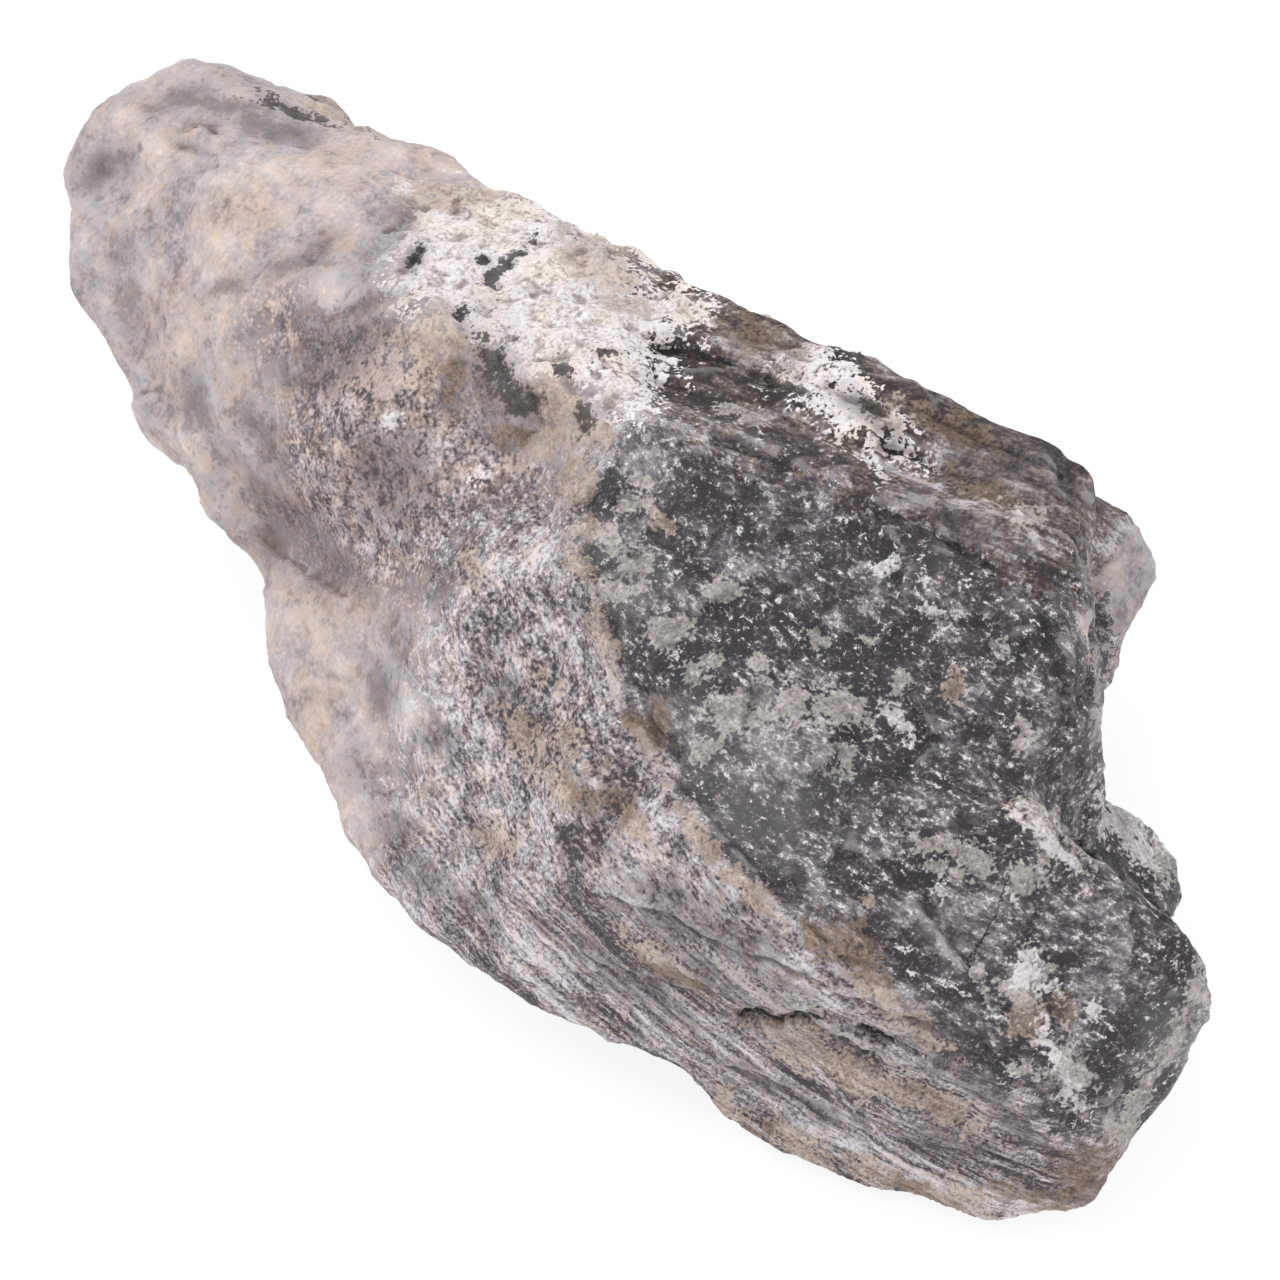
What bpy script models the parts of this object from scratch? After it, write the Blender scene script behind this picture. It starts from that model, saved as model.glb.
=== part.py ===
"""Rough labradorite: one natural stone, broken from rock, resting on a small flat spot.

The stone is drawn as it is held up for sketching: x to the right, y up and z towards the eye, in
millimetres. Its lobes are hulls of the corners seen there. They grow into one skin, which gets its
ledges, lumps and pits, and the stone is then laid down on its resting face, with +Z up.
"""

import math

import bmesh
import bpy
from mathutils import Matrix, Vector, noise

MM = 0.001

# How the sketch is held: the eye's distance, and the turns that lay the drawn stone down.
EYE_DISTANCE = 300.0
LAY_BACK_DEG = 42.0
SPIN_DEG = 47.0

# The skin, in millimetres. Left of the worn line the stone is weathered and rounded.
SKIN_STEP = 0.5
CLEAN_STEP = 0.4
REST_SLICE = 0.9
TRIANGLE_SHARE = 0.105
FRESH_TURNS = 2
WORN_TURNS = 12
WORN_LINE = -3.0
WORN_SPREAD = 0.3
FRESH_SWELL = 0.25
WORN_SWELL = 0.1

# The relief, in millimetres. Ledges and ribs run along the grain.
GRAIN = Vector((0.86, -0.48, 0.17)).normalized()
GRAIN_STRETCH = 0.22
LEDGE_WIDTH = 4.5
LEDGE_STEPS = 5.0
LEDGE_HEIGHT = 0.8
LUMP_WIDTH = 5.5
LUMP_HEIGHT = 0.45
RIB_WIDTH = 2.2
RIB_HEIGHT = 0.2
PIT_SPACING = 4.0
PIT_REACH = 0.45
PIT_DEPTH = 0.45

# Breaks across which the skin drops, as (start, end, drop, reach). Looking from the start to the
# end, the left side stands out and the right side lies low.
BREAK_SHARPNESS = 0.35
BREAK_FADE = 0.12
BREAKS = (
    # the dark gap under the crust and the ledges of the top band
    ((0.2, 12.0), (6.0, 10.4), 1.0, 1.6),
    ((5.2, 9.8), (16.9, 5.4), 0.7, 1.8),
    ((2.6, 8.4), (15.6, 2.4), 0.6, 2.0),
    # the fibrous ledges of the lower band
    ((-2.4, -9.6), (12.2, -15.7), 0.7, 1.6),
    ((0.0, -12.6), (14.8, -18.6), 0.8, 1.5),
    ((2.4, -16.6), (14.0, -21.0), 0.7, 1.4),
    # the head's dark facet and the lip over the shoulder
    ((-12.0, 19.4), (-18.4, 20.6), 0.9, 2.0),
    ((-11.4, 1.4), (-15.8, 4.2), 0.8, 2.0),
    # the stub of a crack across the toe
    ((14.8, -8.8), (12.8, -14.6), 0.35, 1.6),
)

# Hollows and knobs, as (x, y, radius, height).
SPOTS = (
    (-18.0, 19.8, 1.1, -0.8),
    (-21.4, 18.7, 1.2, -0.7),
    (-12.4, 10.8, 1.8, -0.5),
    (-8.4, 12.0, 1.5, 0.4),
    (-5.6, 14.0, 1.2, -0.4),
    (4.6, -14.9, 1.0, -0.9),
    (9.0, -15.6, 0.9, -0.7),
    (14.6, 5.2, 1.3, 0.5),
    (16.4, -7.4, 1.3, 0.6),
    (6.9, -12.2, 1.8, 0.4),
    (-1.6, -7.6, 1.8, 0.4),
    (2.2, -4.4, 2.4, -0.3),
    (9.4, -3.0, 2.6, -0.35),
    (17.2, -16.4, 1.6, 0.4),
)

STONE_GREY = (0.23, 0.215, 0.205, 1.0)

# Each corner is (x, y, depth) as the eye sees it. Depth is towards the eye.
BLOCK = (
    # far top edge, from the neck to the right-hand corner
    (-6.8, 18.2, -16.0),
    (-3.2, 17.1, -14.0),
    (-0.8, 15.8, -12.5),
    (2.4, 14.1, -11.0),
    (8.8, 10.0, -7.5),
    (14.4, 7.9, -5.0),
    (17.8, 6.6, -4.0),
    (18.0, 5.8, -3.5),
    # crest over the dark face
    (-1.8, 9.6, -4.0),
    (4.8, 6.8, -2.2),
    (10.4, 4.0, -0.3),
    (15.8, 2.4, 1.0),
    # right-hand end
    (16.4, 0.0, 2.2),
    (16.8, -3.2, 3.0),
    (18.0, -2.4, -3.5),
    (18.0, -4.4, -3.5),
    (18.1, -7.0, -3.0),
    # ridge between the dark face and the fibrous slope
    (-2.0, 3.2, 0.0),
    (0.0, -2.4, 2.8),
    (2.4, -7.6, 4.6),
    (6.4, -11.4, 5.6),
    (11.6, -15.2, 5.0),
    # shoulder of the fibrous slope
    (-8.4, 0.8, -5.0),
    (-6.4, -4.0, -2.6),
    (-3.2, -9.6, -0.4),
    (2.4, -12.8, 1.8),
    # left and lower edge
    (-15.1, 3.8, -17.0),
    (-14.8, 1.6, -15.0),
    (-14.1, -0.8, -13.0),
    (-13.9, -4.5, -11.5),
    (-12.6, -6.8, -10.5),
    (-9.6, -11.2, -8.0),
    (-7.6, -12.4, -7.0),
    (-3.2, -14.8, -5.5),
    (0.2, -16.9, -4.5),
    # underside and back
    (-8.0, -8.0, -16.2),
    (0.0, -13.0, -11.5),
    (8.0, -17.0, -7.5),
    (-10.0, 6.5, -27.0),
    (-6.5, 3.2, -26.6),
    (2.0, 0.0, -24.0),
    (10.0, -5.0, -19.5),
    (16.0, -8.0, -14.0),
    (-4.0, 12.0, -27.0),
    (6.0, 8.0, -22.0),
    (13.0, 4.0, -17.0),
)

HEAD = (
    # far edge
    (-19.6, 22.7, -22.0),
    (-18.6, 22.8, -22.5),
    (-16.0, 21.9, -23.0),
    (-13.4, 21.8, -22.5),
    (-11.0, 20.9, -20.5),
    (-8.8, 18.6, -18.0),
    (-6.8, 18.2, -16.0),
    # round end
    (-22.0, 21.8, -23.0),
    (-22.8, 19.8, -23.0),
    (-23.2, 18.0, -22.5),
    (-23.0, 16.0, -22.0),
    (-22.4, 14.0, -21.5),
    (-21.5, 11.4, -20.5),
    (-19.7, 8.2, -19.5),
    (-17.2, 5.2, -17.5),
    (-15.6, 3.8, -16.0),
    # lip over the shoulder
    (-13.6, 2.6, -13.5),
    (-11.8, 1.6, -11.5),
    # front
    (-16.8, 15.6, -15.0),
    (-13.6, 11.6, -10.5),
    (-9.6, 12.4, -8.5),
    (-12.4, 6.4, -10.0),
    (-8.0, 15.6, -11.0),
    (-15.6, 8.0, -13.5),
    (-6.8, 8.8, -6.0),
    (-8.4, 3.2, -6.5),
    (-4.0, 7.6, -4.5),
    (-1.8, 9.6, -4.0),
    (-3.2, 17.1, -14.0),
    (-0.8, 15.8, -12.5),
    # crest of the facet behind
    (-18.2, 19.4, -17.8),
    (-11.6, 18.4, -15.2),
    (-7.0, 16.6, -12.4),
    # underside and back
    (-18.4, 10.4, -26.0),
    (-19.5, 16.0, -28.0),
    (-15.5, 19.0, -29.5),
    (-12.0, 7.0, -27.0),
    (-10.0, 12.0, -29.0),
    (-6.0, 14.0, -27.0),
)

TOE = (
    (2.4, -7.6, 4.6),
    (6.4, -11.4, 5.6),
    (11.6, -15.2, 5.0),
    (16.8, -18.8, 3.0),
    (18.6, -20.4, 1.0),
    (15.8, -6.6, 4.6),
    (18.8, -8.8, 3.6),
    (23.1, -12.3, 2.2),
    (23.5, -13.8, 1.0),
    (21.3, -16.5, 0.3),
    (19.9, -20.3, -0.5),
    (19.0, -22.0, -1.5),
    (17.8, -23.4, -2.0),
    (15.6, -23.4, -2.2),
    (10.8, -22.9, -2.6),
    (8.8, -16.0, 2.0),
    (14.0, -20.0, -5.5),
    (19.0, -15.0, -8.0),
    (10.0, -8.0, -12.0),
)

SLAB = (
    (1.4, -17.6, -4.5),
    (3.8, -19.8, -5.0),
    (4.8, -20.4, -5.0),
    (6.6, -20.7, -4.0),
    (9.6, -22.8, -3.2),
    (15.6, -23.3, -2.4),
    (16.0, -21.0, -1.0),
    (8.0, -17.0, 0.0),
    (1.0, -14.0, -1.0),
    (6.0, -17.0, -9.0),
)

LEDGE = (
    (18.6, -6.4, -6.0),
    (19.6, -7.2, -6.5),
    (20.7, -8.1, -7.0),
    (21.3, -9.2, -7.0),
    (21.9, -10.6, -6.0),
    (21.0, -13.0, -3.0),
    (16.0, -7.0, -4.0),
    (16.0, -10.0, -12.0),
    (19.0, -13.0, -9.0),
)

CHIP = (
    (-14.0, 21.6, -24.0),
    (-13.2, 22.2, -24.4),
    (-12.0, 22.1, -24.2),
    (-10.8, 20.9, -22.5),
    (-12.0, 20.0, -21.8),
    (-12.0, 18.0, -27.0),
    (-15.0, 19.0, -26.0),
)

LUMP = (
    (17.6, 5.9, -14.5),
    (20.0, 4.6, -15.0),
    (20.6, 3.6, -15.2),
    (20.7, 2.0, -15.0),
    (20.0, 0.2, -14.0),
    (19.0, -1.6, -13.0),
    (17.9, -3.4, -12.0),
    (14.0, 4.0, -10.0),
    (14.0, -6.0, -10.0),
    (16.8, 3.4, -19.5),
    (18.6, 0.4, -18.5),
    (16.6, -4.4, -17.4),
    (9.0, 6.5, -20.5),
    (8.0, 1.0, -22.0),
    (12.0, -5.5, -19.0),
)

LOBES = {"head": HEAD, "chip": CHIP, "toe": TOE, "slab": SLAB, "ledge": LEDGE, "lump": LUMP}


def seen(x, y, depth):
    """The true place of a corner that the eye sees at x, y, in millimetres."""
    spread = (EYE_DISTANCE - depth) / EYE_DISTANCE
    return Vector((x * spread, y * spread, depth))


def smooth_step(low, high, value):
    """0 below low, 1 above high, and an even rise between them."""
    share = min(1.0, max(0.0, (value - low) / (high - low)))
    return share * share * (3.0 - 2.0 * share)


def clear_scene():
    for obj in list(bpy.data.objects):
        bpy.data.objects.remove(obj)


def collection(name):
    made = bpy.data.collections.new(name)
    bpy.context.scene.collection.children.link(made)
    return made


def hull(name, corners):
    """A closed lobe: the hull of its corners."""
    shape = bmesh.new()
    for corner in corners:
        shape.verts.new(seen(*corner) * MM)
    made = bmesh.ops.convex_hull(shape, input=shape.verts)
    spare = {v for v in made["geom_interior"] + made["geom_unused"] if isinstance(v, bmesh.types.BMVert)}
    bmesh.ops.delete(shape, geom=list(spare), context="VERTS")
    bmesh.ops.recalc_face_normals(shape, faces=shape.faces)
    mesh = bpy.data.meshes.new(name)
    shape.to_mesh(mesh)
    shape.free()
    return bpy.data.objects.new(name, mesh)


def grown_together(block, lobes):
    """One even skin over the block and the lobes that grow from it, as a new mesh."""
    for lobe in lobes:
        union = block.modifiers.new("grow_" + lobe.name, "BOOLEAN")
        union.operation = "UNION"
        union.object = lobe
    skin = block.modifiers.new("skin", "REMESH")
    skin.mode = "VOXEL"
    skin.voxel_size = SKIN_STEP * MM
    return bpy.data.meshes.new_from_object(block.evaluated_get(bpy.context.evaluated_depsgraph_get()))


def wear_down(mesh):
    """Rounds the skin: a little all over, and well at the weathered left-hand end."""
    shape = bmesh.new()
    shape.from_mesh(mesh)
    for turn in range(WORN_TURNS):
        reach = WORN_LINE * MM if turn >= FRESH_TURNS else math.inf
        rounded = [v for v in shape.verts if v.co.x < reach - turn * WORN_SPREAD * MM]
        bmesh.ops.smooth_vert(
            shape, verts=rounded, factor=0.5, use_axis_x=True, use_axis_y=True, use_axis_z=True
        )
    shape.to_mesh(mesh)
    shape.free()


def as_seen(place):
    """Where the eye sees a place: x and y in millimetres."""
    spread = (EYE_DISTANCE - place.z) / EYE_DISTANCE
    return Vector((place.x / spread, place.y / spread))


def drop_at(at, start, end, drop, reach):
    """A break's share of the relief: out on its left side, in on its right, and gone past its ends."""
    way = Vector(end) - Vector(start)
    gap = at - Vector(start)
    along = gap.dot(way) / way.length_squared
    across = (way.x * gap.y - way.y * gap.x) / way.length
    inside = smooth_step(0.0, BREAK_FADE, along) * smooth_step(0.0, BREAK_FADE, 1.0 - along)
    side = 2.0 * smooth_step(-BREAK_SHARPNESS, BREAK_SHARPNESS, across) - 1.0
    return 0.5 * drop * side * math.exp(-abs(across) / reach) * inside


def shaped(place, normal):
    """The relief that is seen at one place only: its breaks, hollows and knobs."""
    facing = smooth_step(-0.1, 0.25, normal.z)
    if facing == 0.0:
        return 0.0
    at = as_seen(place)
    wander = noise.noise(place / 1.7) * 0.5
    height = sum(drop_at(at + Vector((0.0, wander)), *item) for item in BREAKS)
    for x, y, radius, rise in SPOTS:
        height += rise * math.exp(-((at - Vector((x, y))).length / radius) ** 2)
    return height * facing


def relief(place):
    """How far the skin stands out anywhere: its ledges, lumps, ribs and pits, in millimetres."""
    along = place.dot(GRAIN)
    stretched = place - GRAIN * (along * (1.0 - GRAIN_STRETCH))
    worn = 1.0 - smooth_step(WORN_LINE - 4.0, WORN_LINE + 4.0, place.x)
    ledges = noise.noise(stretched / LEDGE_WIDTH + Vector((7.1, 3.3, 1.9)))
    terrace = math.floor(ledges * LEDGE_STEPS)
    within = smooth_step(0.35, 0.65, ledges * LEDGE_STEPS - terrace)
    steps = (terrace + within) / LEDGE_STEPS * LEDGE_HEIGHT * (1.0 - 0.6 * worn)
    lumps = noise.fractal(place / LUMP_WIDTH, 0.9, 2.1, 3) * LUMP_HEIGHT * (1.0 + 0.3 * worn)
    ribs = noise.fractal(stretched / RIB_WIDTH, 0.8, 2.0, 2) * RIB_HEIGHT
    pit = noise.voronoi(place / PIT_SPACING)[0][0]
    pits = -PIT_DEPTH * (1.0 - smooth_step(0.0, PIT_REACH, pit)) * worn
    return steps + lumps + ribs + pits + FRESH_SWELL + WORN_SWELL * worn


def roughen(mesh):
    """Pushes the skin out and in by its relief."""
    normals = [v.normal.copy() for v in mesh.vertices]
    for vertex, normal in zip(mesh.vertices, normals):
        place = vertex.co / MM
        vertex.co += normal * ((relief(place) + shaped(place, normal)) * MM)


def stone_material():
    """Grey feldspar, dull where it is weathered."""
    material = bpy.data.materials.new("labradorite")
    material.use_nodes = True
    shader = material.node_tree.nodes["Principled BSDF"]
    shader.inputs["Base Color"].default_value = STONE_GREY
    shader.inputs["Roughness"].default_value = 0.62
    shader.inputs["Metallic"].default_value = 0.0
    return material


def box(name, low, high):
    """A plain box between two corners, used as a cutter."""
    bpy.ops.mesh.primitive_cube_add(size=1.0, location=(low + high) / 2)
    made = bpy.context.object
    made.name = name
    made.scale = high - low
    bpy.ops.object.transform_apply(location=False, rotation=False, scale=True)
    return made


def helper(obj, group):
    """Keeps a lobe or a cutter out of the finished part."""
    for old in list(obj.users_collection):
        old.objects.unlink(obj)
    group.objects.link(obj)
    obj.hide_render = True
    obj.display_type = "WIRE"
    return obj


def corners_of(mesh):
    """The lowest and the highest corner of a mesh."""
    places = [v.co for v in mesh.vertices]
    low = Vector([min(p[i] for p in places) for i in range(3)])
    high = Vector([max(p[i] for p in places) for i in range(3)])
    return low, high


def main():
    clear_scene()
    parts = collection("rough_labradorite")
    helpers = collection("lobes_and_cutters")
    helpers.hide_render = True

    block = helper(hull("block", BLOCK), helpers)
    lobes = [helper(hull(name, corners), helpers) for name, corners in LOBES.items()]
    mesh = grown_together(block, lobes)
    mesh.name = "stone"
    wear_down(mesh)
    roughen(mesh)

    spin = Matrix.Rotation(math.radians(SPIN_DEG), 4, "Z")
    mesh.transform(spin @ Matrix.Rotation(math.radians(LAY_BACK_DEG), 4, "X"))
    low, high = corners_of(mesh)
    floor = low.z + REST_SLICE * MM
    mesh.transform(Matrix.Translation((-(low.x + high.x) / 2, -(low.y + high.y) / 2, -floor)))

    stone = bpy.data.objects.new("stone", mesh)
    stone.data.materials.append(stone_material())
    parts.objects.link(stone)
    clean = stone.modifiers.new("clean_skin", "REMESH")
    clean.mode = "VOXEL"
    clean.voxel_size = CLEAN_STEP * MM
    fewer = stone.modifiers.new("fewer_faces", "DECIMATE")
    fewer.ratio = TRIANGLE_SHARE
    reach = (high - low) * 0.6
    slice_box = box("rest_slice", Vector((-reach.x, -reach.y, -5.0 * MM)), Vector((reach.x, reach.y, 0.0)))
    helper(slice_box, helpers)
    rest = stone.modifiers.new("rest_face", "BOOLEAN")
    rest.operation = "DIFFERENCE"
    rest.object = slice_box


if __name__ == "__main__":
    main()
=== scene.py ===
"""Rough labradorite: one natural piece of feldspar, broken fresh on one side and weathered on the rest.

The stone's solid comes from the frame. This file gives it a finer skin with the grain's low relief, the
minerals' colours, and a plain white studio.
"""

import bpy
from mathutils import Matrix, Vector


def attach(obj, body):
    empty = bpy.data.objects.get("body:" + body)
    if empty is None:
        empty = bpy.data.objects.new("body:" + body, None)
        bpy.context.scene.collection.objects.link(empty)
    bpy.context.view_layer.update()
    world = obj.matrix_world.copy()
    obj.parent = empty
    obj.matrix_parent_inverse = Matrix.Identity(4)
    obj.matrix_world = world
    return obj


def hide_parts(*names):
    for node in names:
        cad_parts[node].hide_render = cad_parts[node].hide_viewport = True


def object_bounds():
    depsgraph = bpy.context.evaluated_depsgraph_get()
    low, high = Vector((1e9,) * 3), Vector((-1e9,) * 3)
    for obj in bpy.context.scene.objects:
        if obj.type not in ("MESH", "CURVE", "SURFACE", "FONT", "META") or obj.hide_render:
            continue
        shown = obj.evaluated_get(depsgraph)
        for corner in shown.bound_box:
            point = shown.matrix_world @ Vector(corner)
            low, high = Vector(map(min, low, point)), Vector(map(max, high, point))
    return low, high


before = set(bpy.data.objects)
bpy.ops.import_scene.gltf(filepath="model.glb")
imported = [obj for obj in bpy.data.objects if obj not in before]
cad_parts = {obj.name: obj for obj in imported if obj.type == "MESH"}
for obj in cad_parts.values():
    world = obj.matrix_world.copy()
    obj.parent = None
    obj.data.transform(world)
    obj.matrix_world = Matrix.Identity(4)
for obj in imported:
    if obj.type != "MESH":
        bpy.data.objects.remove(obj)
CAD_BOX = [list(corner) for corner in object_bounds()]

import logging
import math
from collections.abc import Sequence
from dataclasses import dataclass
from enum import Enum

import bpy
import numpy as np
from mathutils import Matrix, Vector, noise

log = logging.getLogger("labradorite")

Piece = bpy.types.Object
Tree = bpy.types.NodeTree
Socket = bpy.types.NodeSocket
Size = Sequence[float] | float
Feed = Socket | float | Sequence[float]
Tone = tuple[float, float, float, float]

MM = 0.001                      # metres in a millimetre
NODE = "stone"                  # the solid that the stone's skin stands for

# The sketch is the stone as the eye sees it: x to the right, y up, depth towards the eye, in millimetres.
# It is laid back, spun and shifted into the solid's place.
EYE_DISTANCE = 300.0
PICTURE_WIDTH = 51.2
LAY_BACK_DEG = 42.0
SPIN_DEG = 47.0
SHIFT = (7.7502, -7.837, 18.2006)
LAY = Matrix.Rotation(math.radians(SPIN_DEG), 3, "Z") @ Matrix.Rotation(math.radians(LAY_BACK_DEG), 3, "X")

# The fibres bend round this far centre, and the bedding of the top band runs straight.
BEND_CENTRE = (32.0, 24.3)
BEND_RADIUS = 42.0
BED_ALONG = (0.912, -0.41)

# Below the first ledge of the slope the fibres are combed out straight, and less so at its left end.
FIRST_LEDGE = (-2.4, -9.6)
LEDGE_FALL = -0.42
COMBED_LEFT = 0.25

# A face is on the near side as its direction towards the eye rises from the first to the second.
NEAR_SIDE = (-0.25, 0.15)

# How far the zones' outlines wander, mm: far more on the far side, and less for marks, cracks and ledges.
WANDER, WANDER_SIZE, WANDER_SEEDS = 1.1, 2.0, (1.3, 6.4)
FAR_WANDER, FAR_WANDER_SIZE, FAR_WANDER_SEEDS = 6.0, 7.0, (3.1, 8.7)
MARK_SHARE, CRACK_SHARE, LEDGE_WANDER = 0.3, 0.12, 0.2
FIELD_LIMIT = 6.0

# The field far from every mark, the distance far from every crack, and how angular chips make a mark.
NO_MARK, NO_CRACK = -3.0, 3.0
ANGULAR = 0.7

# Broad swells of the tones: course, size in mm, octaves, seed.
SWELLS = {
    "broad": ("points", 2.0, 4, 6.6), "warm": ("points", 2.6, 3, 9.4), "warm_fine": ("points", 0.8, 3, 5.1),
    "streaks": ("flow", (0.8, 12.0, 6.0), 3, 3.3), "layers": ("bed", (0.9, 12.0, 6.0), 3, 1.7),
}
SWELL_REACH = 0.1

# How wide the relief's patterns are, mm: three widths are those across, along and deep in the grain's course.
LARGE_CHIP, RIND_CHIP, FIBRE_CHIP, CRUST_CHIP = 3.4, 3.6, 2.2, 1.3
FLAKE, SHORT_FLAKE, SMALL_FLAKE = (1.1, 1.8, 1.1), (0.9, 1.7, 0.9), (0.5, 0.8, 0.5)
LONG_FIBRE, SHORT_FIBRE = (1.3, 9.0, 4.0), (0.55, 3.0, 0.6)
LONG_BED, SHORT_BED, BED_CHIP = (1.2, 14.0, 5.0), (0.5, 6.0, 2.0), (2.2, 4.5, 2.2)

# A chip's tilt comes from its middle, stirred by these. Its edge is as soft as a small part of its size.
CHIP_MIX = np.array(((12.9898, 39.346, 73.156), (78.233, 11.135, 52.235), (37.719, 83.155, 9.151)))
CHIP_SCATTER = 43758.5453
CHIP_EDGE = 0.03
TINY = 1e-12                    # keeps a division from zero

# How strong the finer noise is in the grain, how many crystals go to a swell and how much they change it.
GRAIN_ROUGHNESS, CRYSTAL_SCALE, CRYSTAL_REACH = 0.75, 1.7, 0.17


class Mineral(Enum):
    """What a small mark on the stone is made of; the value is the attribute that holds it."""

    PALE = "pale"
    # The white marks are mostly white mineral; a few on the fresh face are a painted reflection.
    WHITE = "white"
    TAN = "tan"
    HONEY = "honey"
    DARK = "dark"
    # The dark marks are mostly darker mineral; a few are painted shade, along the head's top edge and under
    # the upper left lobe.
    BLACK = "black"
    SLATE = "slate"
    PEACH = "peach"
    GREEN = "green"


class Zone(Enum):
    """The stone's large areas; the value is the attribute that holds the distance inside each, in mm."""

    NECK = "dusky_neck"
    FIBRE = "fibrous_slope"
    BAND = "bedded_band"
    FACE = "fresh_face"
    CRUST = "white_crust"


@dataclass(frozen=True)
class Mark:
    """One spot, patch or streak of a mineral.

    Args:
        x, y: its middle in the sketch, mm
        length, width: its size, mm
        turn: degrees that its length is turned, up to the right is positive
    """

    x: float
    y: float
    length: float
    width: float
    turn: float = 0.0

    def field(self, seen: np.ndarray) -> np.ndarray:
        """How deep each point lies in the mark: 1 at its middle, 0 at its edge and less outside."""
        turn = math.radians(self.turn)
        off = seen - np.array((self.x, self.y))
        along = off @ np.array((math.cos(turn), math.sin(turn))) / (0.5 * self.length)
        across = off @ np.array((-math.sin(turn), math.cos(turn))) / (0.5 * self.width)
        return 1.0 - np.hypot(along, across)


@dataclass(frozen=True)
class Crack:
    """A hairline crack or a dark gap; on the top band, a shallow groove along a ledge whose dark line is
    painted shadow under the step.

    Args:
        points: its line in the sketch, mm
        half_width: half of its opening, mm
        depth: how deep the skin is pressed in along it, mm
    """

    points: tuple[tuple[float, float], ...]
    half_width: float
    depth: float


@dataclass(frozen=True)
class Ledge:
    """A sharp little step that follows the grain.

    Args:
        start, end: its ends in the sketch, mm; the ground on its left is the higher one
        drop: how high the step is, mm
        reach: how far from the step the ground is level again, mm
    """

    start: tuple[float, float]
    end: tuple[float, float]
    drop: float
    reach: float

    def lift(self, seen: np.ndarray, wander: np.ndarray) -> np.ndarray:
        """How far the step moves each point out, mm, with its line shaken by wander."""
        start, run = np.array(self.start), np.array(self.end) - np.array(self.start)
        length = float(np.hypot(*run))
        off = seen - start
        along = (off @ run) / length ** 2
        across = (run[0] * off[:, 1] - run[1] * off[:, 0]) / length + wander
        window = eased(0.0, 0.15, along) * eased(1.0, 0.85, along)
        side = 2.0 * eased(-0.1, 0.1, across) - 1.0
        return 0.5 * self.drop * side * np.exp(-np.abs(across) / self.reach) * window


OUTLINES: dict[Zone, tuple[tuple[tuple[float, float], ...], ...]] = {
    Zone.NECK: (
        ((-15.8, 13.2), (-12.4, 14.0), (-9.4, 13.2), (-7.2, 12.4), (-5.4, 10.4), (-3.4, 8.6), (-2.0, 7.0),
         (-3.2, 4.0), (-8.8, 1.4), (-11.4, 1.0), (-13.4, 3.0), (-15.8, 4.8), (-15.4, 7.0), (-15.4, 9.4),
         (-15.2, 11.2)),
    ),
    Zone.FIBRE: (
        ((-8.4, 3.8), (-5.6, 5.6), (-3.2, 6.4), (-0.2, 5.4), (2.0, 1.5), (3.6, -3.0), (8.5, -8.7),
         (14.0, -13.0), (19.1, -18.2), (19.0, -22.0), (20.0, -26.3), (10.4, -26.4), (2.2, -25.2),
         (-4.4, -22.0), (-9.2, -18.8), (-12.4, -15.0), (-12.6, -12.0), (-10.8, -8.8), (-9.6, -4.8),
         (-8.8, -0.4)),
    ),
    Zone.BAND: (
        ((-1.6, 17.2), (2.0, 17.2), (4.8, 16.1), (6.4, 14.9), (9.2, 13.7), (14.4, 11.6), (19.8, 9.9),
         (19.6, 5.6), (18.0, 1.6), (15.0, -1.2), (10.2, 1.1), (7.6, 3.4), (3.8, 5.1), (1.0, 7.1),
         (-0.6, 9.4), (-0.8, 12.0)),
    ),
    Zone.FACE: (
        ((-1.6, 9.7), (2.0, 8.8), (4.8, 7.5), (8.6, 5.8), (11.2, 4.0), (15.6, 2.1), (16.8, 2.4),
         (18.8, 0.0), (19.0, -3.2), (20.6, -6.0), (23.9, -9.6), (24.8, -12.1), (25.4, -13.9), (24.4, -16.0),
         (22.2, -18.9), (20.4, -21.0), (17.1, -20.2), (15.7, -18.9), (14.0, -17.5), (11.4, -16.0),
         (10.4, -14.0), (8.0, -11.6), (5.7, -10.7), (4.1, -9.1), (2.3, -7.4), (0.8, -5.0), (-0.5, -2.9),
         (-1.3, -0.9), (-1.9, 1.5), (-2.6, 3.2), (-2.9, 5.6), (-2.0, 7.6)),
    ),
    Zone.CRUST: (
        ((-9.1, 18.3), (-6.4, 18.4), (-3.8, 17.5), (-2.0, 16.7), (0.0, 15.3), (2.0, 14.1), (2.6, 12.9),
         (1.4, 11.9), (0.9, 10.6), (-0.4, 9.9), (-1.8, 9.9), (-2.8, 10.1), (-4.6, 10.9), (-6.0, 11.6),
         (-7.0, 12.6), (-9.3, 13.2), (-10.1, 13.8), (-9.9, 15.2), (-10.2, 16.1), (-9.3, 17.8)),
        ((6.5, 11.8), (7.9, 11.2), (9.0, 10.4), (10.0, 8.8), (11.6, 6.9), (9.6, 7.1), (8.1, 7.8),
         (7.2, 8.8), (6.2, 9.8), (5.1, 10.7), (6.2, 11.2)),
    ),
}

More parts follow.
